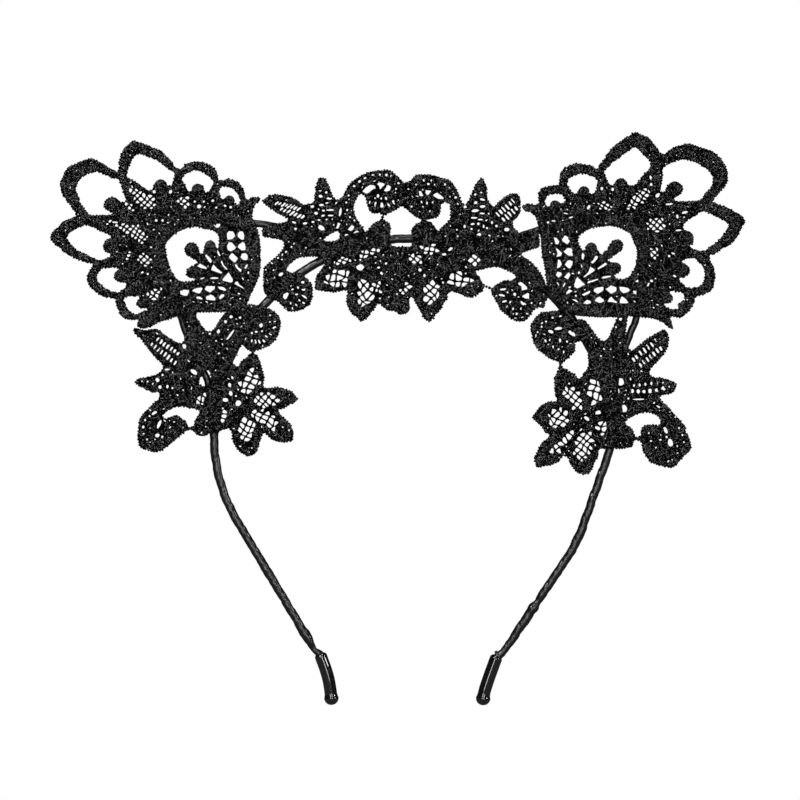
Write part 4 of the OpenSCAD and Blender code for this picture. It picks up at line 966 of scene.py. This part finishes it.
CR_CELLS = [
    [320.3, 190.4, 1.8, 1.1, 0], [320.6, 196.2, 2, 1.7, 0], [326.3, 192.4, 1.3], [328.8, 198.4, 3.2, 1.2, -8], [321.4, 205, 2.4, 1.3, 0],
    [327, 203, 1.6, 0.8, 10], [330, 210, 3.9, 1.1, 0], [316, 213.2, 2, 1.5, -20], [323.4, 210.6, 1.5, 1, 0], [330.6, 215.6, 3, 0.9, 0],
    [323, 215.6, 1.9, 1, 10], [327, 219.6, 1.6, 0.9, 0], [319, 220, 1.5, 0.9, 0], [305, 223.4, 2.2, 1.2, 10], [287.4, 227.6, 2.2, 1.2, 10],
    [295.4, 229, 1.5, 1.5, 0], [294, 222.4, 2.4, 1, -20],
    [312.3, 206.4, 1.7], [340.3, 212, 1.5, 4.8, -8], [321.3, 227.8, 4, 2.6, -25], [313, 222, 1.6, 1, 0],
    [354, 186, 1.5, 1.3, 0], [359.4, 181.5, 1.6, 1.3, 20], [365, 178, 1.6, 1.1, 20], [373, 174.8, 1.5, 1.1, 15], [379.7, 174.6, 1.2],
    [386.3, 174.8, 1.3, 1.7, -15], [391.6, 175.9, 1.7, 1.1, 30], [398.8, 183, 1.6, 1.1, 20], [363.8, 183.6, 1], [396, 189, 1],
    [378, 196, 1.3, 1.9, 0], [375, 198.2, 0.9], [386, 198.4, 1, 1.9, 20], [381.2, 198.4, 0.8, 1.2, 0], [375.3, 204.4, 1.1, 3.2, -8],
    [388.6, 204.8, 1.2, 3.1, 30], [393.6, 202.2, 1.2, 2.7, 25], [369.6, 202.4, 0.8, 1.7, -20], [396.2, 211.4, 1.6, 1.2, 0],
    [348.6, 195.5, 1.1], [346.3, 202.5, 1.1], [347.3, 210, 1.1], [350, 217, 1.1],
    [424, 180.3, 1.3], [431.3, 180.4, 1], [428.4, 184, 1.3], [434.8, 184.6, 0.9], [444.6, 184.3, 1.4], [449.6, 188, 1.1], [455.8, 197.6, 1.4],
    [457.6, 203.8, 1.2], [411.4, 206.6, 1.2], [430, 211.4, 1, 1.6, -20], [421.6, 202, 0.8, 1.6, 20], [427, 203, 0.8, 1.7, 0], [432.6, 202.6, 0.8, 1.6, -20],
    [416, 184.6, 0.9], [408.4, 189, 0.9], [450.4, 196.6, 0.9], [361.2, 235.2, 1, 1.3, 0],
    [475.4, 194.6, 1.4], [481.2, 192.6, 1.3, 1, 0], [482.6, 199.6, 2.9, 1.2, -12], [475.4, 202.6, 2.1, 1.6, 0], [482.6, 206.6, 2.9, 1.5, 10],
    [475.2, 210.8, 3.8, 1.6, 5], [482.2, 213.4, 2.7, 1.1, 0], [474, 217.8, 3.4, 1, 0], [480.4, 219.6, 2.6, 0.9, 0], [472.6, 224, 2.2, 1, 10],
    [478.4, 223.8, 1.4], [483.6, 226.4, 0.9, 1.7, 0], [465.2, 206.8, 1.6, 1.5, 0], [464.6, 226.6, 1.1, 1.8, -10], [506.8, 229.6, 2.7, 1.9, 0],
    [496.4, 226, 1.3], [492, 222.6, 1.1, 1.6, 0],
    [478.8, 235, 2.7, 1.8, 25], [471.5, 229, 1.1], [487, 228, 1.1],
    [450.4, 249.2, 2.8, 1.5, 35], [444, 254.3, 2.4, 1.3, 10], [455, 243, 1.1], [360.3, 267.4, 3.9, 3.2, 0],
    [378.6, 267.5, 1.6, 1.1, 0], [381.6, 273.4, 1.2, 1.8, 30], [386, 263.5, 1.2], [420, 270, 1.7], [424.5, 275.6, 1.2, 1.6, 0],
    [503, 289.4, 3, 1.2, 10], [501.8, 295.3, 3.3, 1.4, -10], [514.6, 294.4, 1.5, 1.6, 30], [504.3, 301.4, 2.5, 1.1, 15], [507.6, 292.4, 0.9],
    [540.6, 303.4, 1.2], [536.8, 308.3, 1.3], [516.8, 313.8, 1.3], [527.4, 313.6, 1.3], [513, 308.9, 0.9, 1.5, -20], [506.6, 306.4, 0.8, 1.5, -40],
    [510.2, 302, 0.8, 1.6, -30], [531.6, 303, 1], [521, 308.6, 0.9, 1.2, 0],
    [303, 282.3, 2, 1.3, -10], [303.6, 289.6, 2.1, 1.2, 0], [304.7, 297, 3.6, 1.1, -32], [296.6, 294.4, 1.6, 1, 0], [296.4, 305.4, 0.9, 1.9, 35],
    [303.4, 302.8, 1.8, 0.9, -35], [285.9, 308.2, 1, 1.4, 0], [292.6, 308.4, 0.9, 1.5, 10], [299.4, 300.4, 1.5, 0.8, -40], [290.6, 303.4, 0.8, 1.5, 0],
    [298, 287.6, 0.9, 1.5, 20], [292.4, 289.4, 1.4, 0.8, 20], [281, 274.4, 2.6, 1.8, 30], [272, 263, 1.2], [278, 258, 1.1], [273.5, 270, 1], [286, 252, 1.2], [291.5, 247, 1]]
CR_SHAPES = [
    [[362.5, 191.1], [366.3, 186.8], [370.6, 184.5], [375, 185.5], [375.6, 188.6], [371.9, 191.1], [367.5, 193.6], [364.4, 193.4]],
    [[378.1, 182], [382.5, 182.8], [385, 184.3], [382.5, 187.4], [380, 189.3], [378.8, 186.1], [376.9, 184.3]],
    [[387.5, 184.3], [391, 186.8], [390, 190.5], [386.3, 191.8], [383.8, 190.5], [385.8, 187.4]],
    [[380.6, 203], [382.5, 202.4], [384.4, 207.6], [380, 207.9]],
    [[418.8, 191.1], [421, 191.1], [423.8, 196.5], [419.4, 195.8]], [[425.6, 190.3], [431.3, 190.5], [430, 193], [428.1, 195.3], [425.6, 193.6]],
    [[433.1, 194.9], [436.9, 192.4], [440.6, 194.9], [444.2, 198], [442, 199.4], [438.1, 199], [434.4, 197]],
    [[283.3, 294.3], [287.6, 292], [288.9, 294.3], [287, 298.3], [285.1, 299.5], [283, 297.6]],
    [[518.4, 282], [521.8, 282], [527.2, 286.8], [527.2, 289.3], [521.8, 290.5], [521.1, 286.8], [518.2, 284.6]],
    [[521.8, 296.1], [527.4, 292.8], [529.3, 293.6], [529, 299], [524.9, 298.6]],
    [[519.9, 301.1], [523, 301.5], [526.5, 304.3], [523.6, 305.8], [521.5, 304.3]],
    [[347.2, 230.2], [351.5, 224.8], [354.8, 226.9], [352.4, 231.2]], [[353.4, 232.9], [356.7, 230.3], [359.3, 232], [357.6, 235.6]],
    [[344.8, 233.2], [349.6, 235], [349.2, 239], [344.8, 237.8]], [[351.9, 236], [356.3, 237.2], [355.8, 239.6], [351.4, 239.2]],
    [[337.8, 222.6], [340.4, 223.4], [338.6, 228.4], [335.6, 228.8], [337, 225.8]]]
CR_SHAPES += (ladder(276.8, 203, 299, 209, 8, 7.4, 40) + ladder(281.5, 209.2, 302.5, 217.4, 7, 6.6, 40)
             + ladder(497.6, 214.6, 513.4, 201.2, 6, 8.2, -50) + ladder(503.6, 219.4, 519.4, 206.4, 6, 7.4, -50))
CR_NETS = [
    [[[418, 247.5], [427, 243.4], [436, 243.4], [441, 250], [436, 256], [424, 255]], 5.4, 15],
    [[[357, 257], [362.5, 249.5], [380, 246.5], [383, 252.8], [370, 257.5], [360, 261]], 4.8, 15],
    [[[330.5, 264.5], [342.5, 256], [352, 258], [351, 262], [338, 265.5]], 4.6, 25],
    [[[407, 255], [412, 251.5], [421, 255], [424, 260.5], [417, 266.5], [410, 261]], 5, 45],
    [[[461, 260], [472.5, 253.6], [482, 257.8], [483.5, 263.5], [470, 268.5]], 6, 40],
    [[[323.5, 283], [329, 270.5], [342.5, 266.5], [353.5, 273.8], [347, 286.5], [332.5, 288]], 6.6, 10],
    [[[354, 292.5], [358.5, 279.5], [367.5, 278.5], [376.5, 295], [369, 309], [360, 310]], 6.2, 45],
    [[[372, 279.5], [380, 282], [384, 293], [378, 295], [373.5, 288]], 5, 20],
    [[[399, 291], [406, 282.5], [415, 284.5], [411.5, 292.5], [402.5, 296]], 5, 45],
    [[[421, 296], [424, 284], [435, 277.4], [442.5, 285], [438.5, 299], [428.8, 307.5], [422.8, 303]], 6.2, 45],
    [[[445, 279.5], [449.5, 271.5], [462.5, 271], [475, 280], [471.5, 286.5], [457.5, 288], [446.8, 285.5]], 6.6, 15]]
LS_CELLS = [
    [184.2, 346.4, 2.2, 2.6, 0], [157.4, 380.2, 2.3], [160, 387, 1.7, 2, 0], [167.4, 386.4, 1.3, 2, 0],
    [162.6, 375, 1.2], [153, 384, 1.2], [172.4, 388, 1.1], [167.5, 369.2, 3, 1.3, 10], [147.5, 381.5, 1],
    [154.3, 413, 3, 1.5, 30], [159.2, 424.5, 1.9, 4.8, -22], [157.3, 435.4, 2.6, 2, 20], [162.4, 437, 1.2], [145, 420, 1.2], [143.2, 427, 1.4],
    [143.4, 433.6, 1.3], [147, 439.4, 1], [149.5, 416, 1], [170, 427.5, 1.4, 0.8, 30], [174, 422, 1.2, 0.8, 0],
    [261, 325.3, 1.9, 2.2, -20], [274.6, 327.6, 2, 1.2, 25], [251, 306.4, 1.3], [251.9, 333, 1.2], [256.3, 331.8, 1.5, 1, 0], [262, 331.2, 1],
    [255.5, 342.2, 1, 2.5, 12], [259.4, 341.8, 0.9, 2.3, 20], [264, 341.2, 1.1, 2.1, 40], [251.8, 341, 0.9, 1.8, 0], [266.4, 336.6, 0.9, 1.7, 45],
    [270.4, 334, 0.9, 1.7, 60], [274.6, 321.4, 1.6, 0.8, 10], [270, 315, 1.1], [270, 322, 1.1, 0.8, 0],
    [230.6, 334.6, 1.5, 7.2, -38], [231, 316.8, 1.9, 1.5, 0], [225.4, 321.8, 1.7], [218.4, 331.4, 1.6, 2.2, 0], [240, 317.5, 1.4], [251, 306.6, 1.2],
    [209.8, 333.6, 1.2], [213.5, 326.5, 1.1], [194, 372, 4, 2.6, -35],
    [238.2, 403.2, 3.1], [225.3, 399.8, 2.9, 2.2, 0], [230.6, 393.4, 1.9, 2.7, 20], [229.6, 385, 1.6, 2.3, 10], [232.3, 377.6, 1.1, 1.8, 20],
    [222.5, 408.4, 1.4, 0.9, 0], [231.8, 409, 1.2, 0.8, 0], [219.5, 399.5, 1.2], [236, 396, 1]]
LS_SHAPES = ladder(157.6, 339.4, 178.4, 353.6, 7, 6.2, 56) + ladder(151.6, 344.4, 175, 362.4, 8, 6.4, 56)
LS_NETS = [
    [[[236.5, 386.7], [245.5, 370.8], [253.3, 366.6], [259.6, 373.3], [260.8, 384], [253, 394], [243, 397]], 6.2, 20],
    [[[252.3, 398.3], [261.7, 391], [273.3, 391], [282.8, 398.3], [274.3, 408], [261.7, 407.3], [253.2, 403]], 5.4, 40],
    [[[249.5, 407], [263.3, 409], [276, 417], [282.8, 428.8], [275.5, 432.8], [264, 427], [251.5, 417]], 6.2, 30],
    [[[235.5, 425], [243.3, 416], [255, 419], [257.8, 430], [251.5, 441.5], [244.2, 443.7], [237, 434]], 6, 25],
    [[[217.3, 416.7], [223, 408.6], [229, 413], [227.3, 422], [219.5, 425.3]], 5.8, 10],
    [[[193.5, 401], [206.7, 389.5], [209.5, 395], [204.3, 406.5], [196.4, 405.6]], 5.2, 20]]
RS_CELLS = [
    [598, 412.6, 3.4, 2.3, 20], [605.8, 407.6, 2.4, 2.9, 30], [586.7, 418.4, 3.4, 1.7, -35], [612, 399, 1.1],
    [620.6, 382, 3.8, 4.2, 0], [623.6, 408.5, 3.9, 3.8, 0], [621, 415.4, 2.4, 1.9, 0], [618.3, 391, 1.3, 2.7, 0], [617.6, 404.4, 1, 1.5, 0],
    [628.4, 354, 1.1],
    [632.4, 391, 1.5, 2.2, 0], [638.2, 391.4, 1.9, 2.2, 0], [644, 391.6, 1.8, 1.6, 0], [650, 391, 2, 2.2, 0], [656.7, 390, 1.8, 1.9, 0],
    [663.3, 388.6, 2.1, 2.2, 0], [669.4, 387, 1.1], [634, 385.6, 1.1, 1.4, 0], [639.6, 385, 1.2, 1.6, 0], [645.4, 384.2, 1.2, 1.7, 0], [651.4, 383.4, 1.2, 1.8, 0],
    [657.4, 382.8, 1.1, 1.7, 0], [663, 382.4, 1, 1.3, 0], [638.6, 399.3, 6, 1, 2], [628.4, 398.5, 1.1],
    [665.6, 430.2, 2, 3.5, 28], [670.4, 442.8, 2.9, 3.9, 20], [666.6, 437, 1.2], [679, 428, 1.1], [682.4, 435, 1.1], [684, 442, 1.1], [680.4, 449, 1],
    [675.4, 417, 1.1], [669.6, 411.6, 1], [658.3, 406.6, 2.3, 0.9, -35], [654, 402.8, 1.1], [648.6, 433, 1], [651, 441, 1.3, 0.8, 0], [656, 447.5, 1.2, 0.8, 40],
    [550.8, 331.8, 2.7, 1.7, -25], [558.6, 328.4, 4, 1.8, 8], [572, 333.6, 4.6, 2.2, -38], [560, 340.4, 1.2, 2.2, 0], [541.6, 326.6, 1.1], [546, 321.4, 1.1],
    [537.6, 332, 1], [545.4, 340.8, 1.1, 1.8, 30], [553, 347, 1, 1.6, 0], [552.6, 317.6, 1.2], [560.6, 316, 1.9, 1, 20], [567, 341.6, 1.1],
    [620.8, 319, 2.2, 1.7, 0], [616, 327, 1.1], [594, 346, 1], [601, 356, 1]]
RS_SHAPES = ladder(633.4, 360, 655.6, 341, 7, 6.6, -56) + ladder(640.6, 365.4, 660.4, 348.2, 7, 6.6, -56)
RS_NETS = [
    [[[584.7, 381.7], [594, 376.4], [602, 384], [603.4, 396], [597, 404], [591, 410.5], [585.6, 398.7]], 7, 15],
    [[[560.8, 390], [569, 381.8], [577, 389], [583.7, 400], [582, 410.3], [573, 408.7], [564.7, 399.3]], 5.8, 40],
    [[[545.7, 415.6], [556, 407.2], [568, 410.2], [572, 416.7], [565, 428.7], [552, 430.3], [546.5, 422.7]], 6.2, 35],
    [[[544.7, 451.8], [553, 441.8], [565, 431.3], [574.5, 428.6], [573.7, 439.3], [565, 448.7], [551.7, 457]], 6.2, 45],
    [[[572.2, 446.7], [580, 433], [590, 431.3], [596.2, 440], [591, 455.3], [580, 462.4], [573.4, 453.7]], 5.8, 40],
    [[[593.6, 426.7], [603.3, 418], [609.3, 426.7], [607.8, 438.7], [599, 437.4]], 6, 20]]

BAND_LACE_Y = LACE_BACK - LACE_T / 2
motif("left_ear_lace_v", "left_ear_lace", LEFT_EAR_LACE, LEFT_EAR_HOLES, LE_CELLS, LE_NETS, 110, EAR_MID_Y, 3800, LE_KNOBS, lean, LE_SHAPES)
motif("right_ear_lace_v", "right_ear_lace", RIGHT_EAR_LACE, RIGHT_EAR_HOLES, RE_CELLS, RE_NETS, 110, EAR_MID_Y, 3900, RE_KNOBS, lean, RE_SHAPES)
motif("crown_lace_v", "crown_lace", CROWN, CROWN_HOLES, CR_CELLS, CR_NETS, 150, BAND_LACE_Y, 4600, shapes=CR_SHAPES)
motif("left_side_lace_v", "left_side_lace", LEFT_SIDE, LEFT_SIDE_HOLES, LS_CELLS, LS_NETS, 80, BAND_LACE_Y, 2800, shapes=LS_SHAPES)
motif("right_side_lace_v", "right_side_lace", RIGHT_SIDE, RIGHT_SIDE_HOLES, RS_CELLS, RS_NETS, 80, BAND_LACE_Y, 2900, shapes=RS_SHAPES)

# ---------------------------------------------------------------- band, ears' wires, caps
def arc_xz(a0, a1, r, step=0.35):
    n = max(3, int(abs(math.radians(a1 - a0)) * r / step))
    a = np.radians(np.linspace(a0, a1, n))
    return np.stack([r * np.cos(a), CROWN_Z + r * np.sin(a)], 1)


def run(s):
    """The arm's line, [[x, z]], from the flex axis heading down: [radius, angle] bends inwards, a negative radius outwards, [0, length] straight."""
    q, h, out = np.zeros(2), 0.0, [np.zeros(2)]
    for r, l in s:
        if r == 0:
            n = max(2, int(l / 0.4))
            for k in range(1, n + 1):
                out.append(q + l * k / n * np.array([math.sin(h), -math.cos(h)]))
            q = out[-1]
        else:
            t = math.radians(l) * (1 if r > 0 else -1)
            n = max(3, int(abs(r * t) / 0.4))
            for k in range(1, n + 1):
                a = t * k / n
                out.append(q + r * np.array([math.cos(h) - math.cos(h + a), -(math.sin(h + a) - math.sin(h))]))
            q = out[-1]
            h += t
    return np.array(out), h


LEFT_RUN = [[52.8, 31], [0, 48.5], [-6, 16.5]]
RIGHT_RUN = [[19.2, 19.5], [0, 23.4], [48, 14.5], [0, 37], [-6, 16.5]]


def arm_line(s, extra, side, above):
    """Arm line with a stretch of the crown above its flex axis; side is -1 for the left."""
    p, h = run(s + [[0, extra]])
    top = arc_xz(above, 0, CROWN_R)[:-1]
    pts = np.stack([-CROWN_R + p[:, 0], CROWN_Z + p[:, 1]], 1)
    top = np.stack([-top[:, 0], top[:, 1]], 1)
    q = np.vstack([top, pts])
    if side > 0:
        q[:, 0] *= -1
    return q


def to3(p, y=0.0):
    return np.stack([p[:, 0], np.full(len(p), y), p[:, 1]], 1)


def wrap_radius(r0, pitch, amp, seed, hand=1, lumps=()):
    """lumps is [place along the line, height, half length], in mm."""
    k = np.random.default_rng(seed)
    w1, w2, w3 = k.uniform(0, 6.28, 3)

    def f(s, a):
        ph = (s + 0.6 * np.sin(s / 9 + w1)) / pitch + hand * a / (2 * np.pi)
        saw = ph - np.floor(ph)
        lap = np.where(saw < 0.12, saw / 0.12, 1 - 0.55 * (saw - 0.12) / 0.88)
        r = r0 - amp + amp * lap + 0.05 * np.sin(s * 0.9 + a + w2) + 0.03 * np.sin(s * 2.3 - 2 * a + w3)
        for at, high, wide in lumps:
            r = r + high * np.exp(-((s - at) / wide) ** 2)
        return r
    return f


CAPS = {
    "left": [(319.8, 654.4), (321.7, 660), (325.2, 669.5), (328.2, 680), (330, 690), (331.1, 698.5), (331.8, 706)],
    "right": [(497.4, 656.6), (495.3, 662), (491.4, 672.5), (487.9, 682.5), (485.2, 691), (483.6, 698.5), (482.6, 706.3)]}
# lumps of the ribbon, by their distance above the cap's mouth
LUMPS = {"left": [(7.6, 0.26, 2.4), (2.2, -0.42, 2.2), (31, 0.1, 3)],
         "right": [(19.2, 0.3, 1.3), (21.6, -0.28, 1.2), (15, 0.16, 3), (3.5, -0.2, 3), (46, 0.12, 3)]}


def into_cap(spec, word, side, above, deep):
    """The arm's line down to its cap's mouth and on along the cap's middle, and the length down to the mouth."""
    cap = spaced(curve(flat(CAPS[word]), 12), 0.35)
    q = arm_line(spec, 0.2, side, above)
    q = q[q[:, 1] > cap[0, 1] + 1.0]
    n = len(q)
    q = np.vstack([q, cap[1:int(deep / 0.35)]])
    q = spaced(curve(spaced(q, 1.6), 5), 0.35)
    l = np.r_[0, np.cumsum(np.linalg.norm(np.diff(q, axis=0), axis=1))]
    return q, float(np.interp(-cap[0, 1], -q[:, 1], l))


crown_line = to3(arc_xz(172, 8, CROWN_R))
crown = sweep_object("crown_ribbon_v", crown_line, wrap_radius(BAND_R, 6.5, 0.16, 1))
finish_piece(crown, SATIN, "band")
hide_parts("crown_ribbon")
for side, word, spec in ((-1, "left", LEFT_RUN), (1, "right", RIGHT_RUN)):
    q, mouth = into_cap(spec, word, side, 9, 5)
    o = sweep_object(word + "_arm_ribbon_v", to3(q), wrap_radius(BAND_R, 8.0, 0.24, 5 + side, -side,
                                                                 [(mouth - d, high, wide) for d, high, wide in LUMPS[word]]), 28)
    finish_piece(o, SATIN)
    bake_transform(o)
    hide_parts(word + "_arm_ribbon")
    line = to3(into_cap(spec, word, side, 1.8, 11)[0])
    w = sweep_object(word + "_arm_wire_v", line, np.full(len(line), CORE_R - 0.1), 12)
    finish_piece(w, STEEL)
    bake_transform(w)
    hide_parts(word + "_arm_wire")

for word in ("left", "right"):
    c = spaced(curve(flat(CAPS[word]), 12), 0.2)
    l = np.r_[0, np.cumsum(np.linalg.norm(np.diff(c, axis=0), axis=1))]
    tot = l[-1]
    rr = np.full(len(c), 2.02)
    rr = np.where(l < 1.0, 2.02 - 0.62 * (1 - l) ** 2, rr)
    b0 = tot - 2.35
    bead = np.sqrt(np.maximum(2.35 ** 2 - (l - b0) ** 2, 0))
    rr = np.where(l > b0, bead, np.where(l > b0 - 1.6, np.maximum(rr, 2.02 + 0.33 * ((l - b0 + 1.6) / 1.6) ** 2), rr))
    rr = np.maximum(rr, 0.02)
    o = sweep_object(word + "_end_cap_v", to3(c), rr, 32)
    finish_piece(o, GLOSS, word + "_arm")
    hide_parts(word + "_end_cap")

# the end of the ribbon, standing up out of the right cap's mouth
c = spaced(curve(flat([(499.5, 661), (498.4, 657), (497, 654), (495.6, 651.4)]), 8), 0.12)
k = np.linspace(0, 1, len(c))
o = sweep_object("right_ribbon_tail", to3(c, -0.9), 0.75 - 0.35 * k ** 2 + 0.09 * np.sin(k * 23) * k, 14, 0.45)
finish_piece(o, SATIN, "right_arm")

for word, pts in (("left", LEFT_EAR), ("right", RIGHT_EAR)):
    c = to3(spaced(flat(curve(pts, 6)), 0.35))
    o = sweep_object(word + "_ear_ribbon_v", c, wrap_radius(EAR_R, 5.0, 0.16, 21 if word == "left" else 22), 20)
    finish_piece(o, SATIN, "band")
    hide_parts(word + "_ear_ribbon")

for node in ("crown_wire", "left_ear_wire", "right_ear_wire"):
    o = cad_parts[node]
    o.data.materials.clear()
    o.data.materials.append(STEEL)


def binding(name, node, a0, a1):
    """Thread wound round the band and an ear wire's leg."""
    w = LEG_R - CROWN_R
    turns = abs(math.radians(a1 - a0)) * CROWN_R / 0.42
    n = int(turns * 16)
    f = np.linspace(0, turns * 2 * np.pi, n)
    a = np.radians(np.linspace(a0, a1, n))
    R = BAND_R + 0.28
    cx, sy = np.cos(f), np.sin(f)
    rad = CROWN_R + np.where(cx > 0, w + (EAR_R + 0.28) * cx, R * cx) + 0
    yy = np.where(cx > 0, EAR_R + 0.3, R) * sy
    u = np.stack([rad * np.cos(a), yy, CROWN_Z + rad * np.sin(a)], 1)
    nor = np.stack([cx * np.cos(a), sy, cx * np.sin(a)], 1)
    th = Threads(6)
    th.add(u, 0.22, nor)
    o = finish_piece(th.object(name), SEWING, "band")
    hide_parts(node)


binding("left_inner_binding_v", "left_inner_binding", 104.5, 109)
binding("left_outer_binding_v", "left_outer_binding", 169.5, 174)
binding("right_inner_binding_v", "right_inner_binding", 71, 75.5)
binding("right_outer_binding_v", "right_outer_binding", 6, 10.5)

for node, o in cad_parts.items():
    if node.endswith("_stitches"):
        o.data.materials.clear()
        o.data.materials.append(SEWING)

# ---------------------------------------------------------------- stage, light, camera
low = min(v for v in (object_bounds()[0].z, CAD_BOX[0][2]))
bpy.ops.mesh.primitive_plane_add(size=6, location=(0, 0.8, low - 0.0115))  # clear of the caps when the arms swing out
floor = bpy.context.object
floor.name = "floor"
floor.data.materials.append(floor_material())
floor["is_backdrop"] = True

world = bpy.data.worlds.new("studio")
bpy.context.scene.world = world
world.use_nodes = True
bg = world.node_tree.nodes["Background"]
bg.inputs["Color"].default_value = (1.0, 1.0, 1.0, 1)
bg.inputs["Strength"].default_value = 0.02
seen = world.node_tree.nodes.new("ShaderNodeBackground")
seen.inputs["Color"].default_value = (1.0, 1.0, 1.0, 1)
seen.inputs["Strength"].default_value = 1.0
path = world.node_tree.nodes.new("ShaderNodeLightPath")
both = world.node_tree.nodes.new("ShaderNodeMixShader")
world.node_tree.links.new(path.outputs["Is Camera Ray"], both.inputs[0])
world.node_tree.links.new(bg.outputs[0], both.inputs[1])
world.node_tree.links.new(seen.outputs[0], both.inputs[2])
world.node_tree.links.new(both.outputs[0], world.node_tree.nodes["World Output"].inputs["Surface"])


def area(name, loc, aim, size, power, size_y=None):
    d = bpy.data.lights.new(name, "AREA")
    d.energy = power
    d.shape = "RECTANGLE"
    d.size = size
    d.size_y = size_y or size
    o = bpy.data.objects.new(name, d)
    bpy.context.scene.collection.objects.link(o)
    o.location = loc
    o.rotation_euler = (Vector(aim) - Vector(loc)).to_track_quat("-Z", "Y").to_euler()
    return o


area("front_softbox", (-0.45, -0.6, 0.55), (0, 0, -0.05), 0.16, 3.0)
area("left_strip", (-0.13, -0.5, -0.005), (0, 0, -0.005), 0.06, 0.42, 0.3)
area("right_strip", (0.13, -0.5, -0.005), (0, 0, -0.005), 0.06, 0.42, 0.3)
area("side_softbox", (0.8, -0.35, 0.15), (0, 0, -0.05), 0.14, 1.2)
area("top_softbox", (0.05, -0.25, 0.9), (0, 0, 0), 0.3, 1.8)

scene = bpy.context.scene
scene.view_settings.view_transform = "Standard"
scene.view_settings.look = "None"
cam_data = bpy.data.cameras.new("camera")
cam_data.lens = 120
cam_data.sensor_width = 36
cam_data.clip_end = 20
cam_data.dof.use_dof = False
cam = bpy.data.objects.new("camera", cam_data)
scene.collection.objects.link(cam)
cam.location = (-0.004, -0.0027 - 0.2560 / 0.3, -0.0504)
cam.rotation_euler = (math.pi / 2, 0, 0)
scene.camera = cam
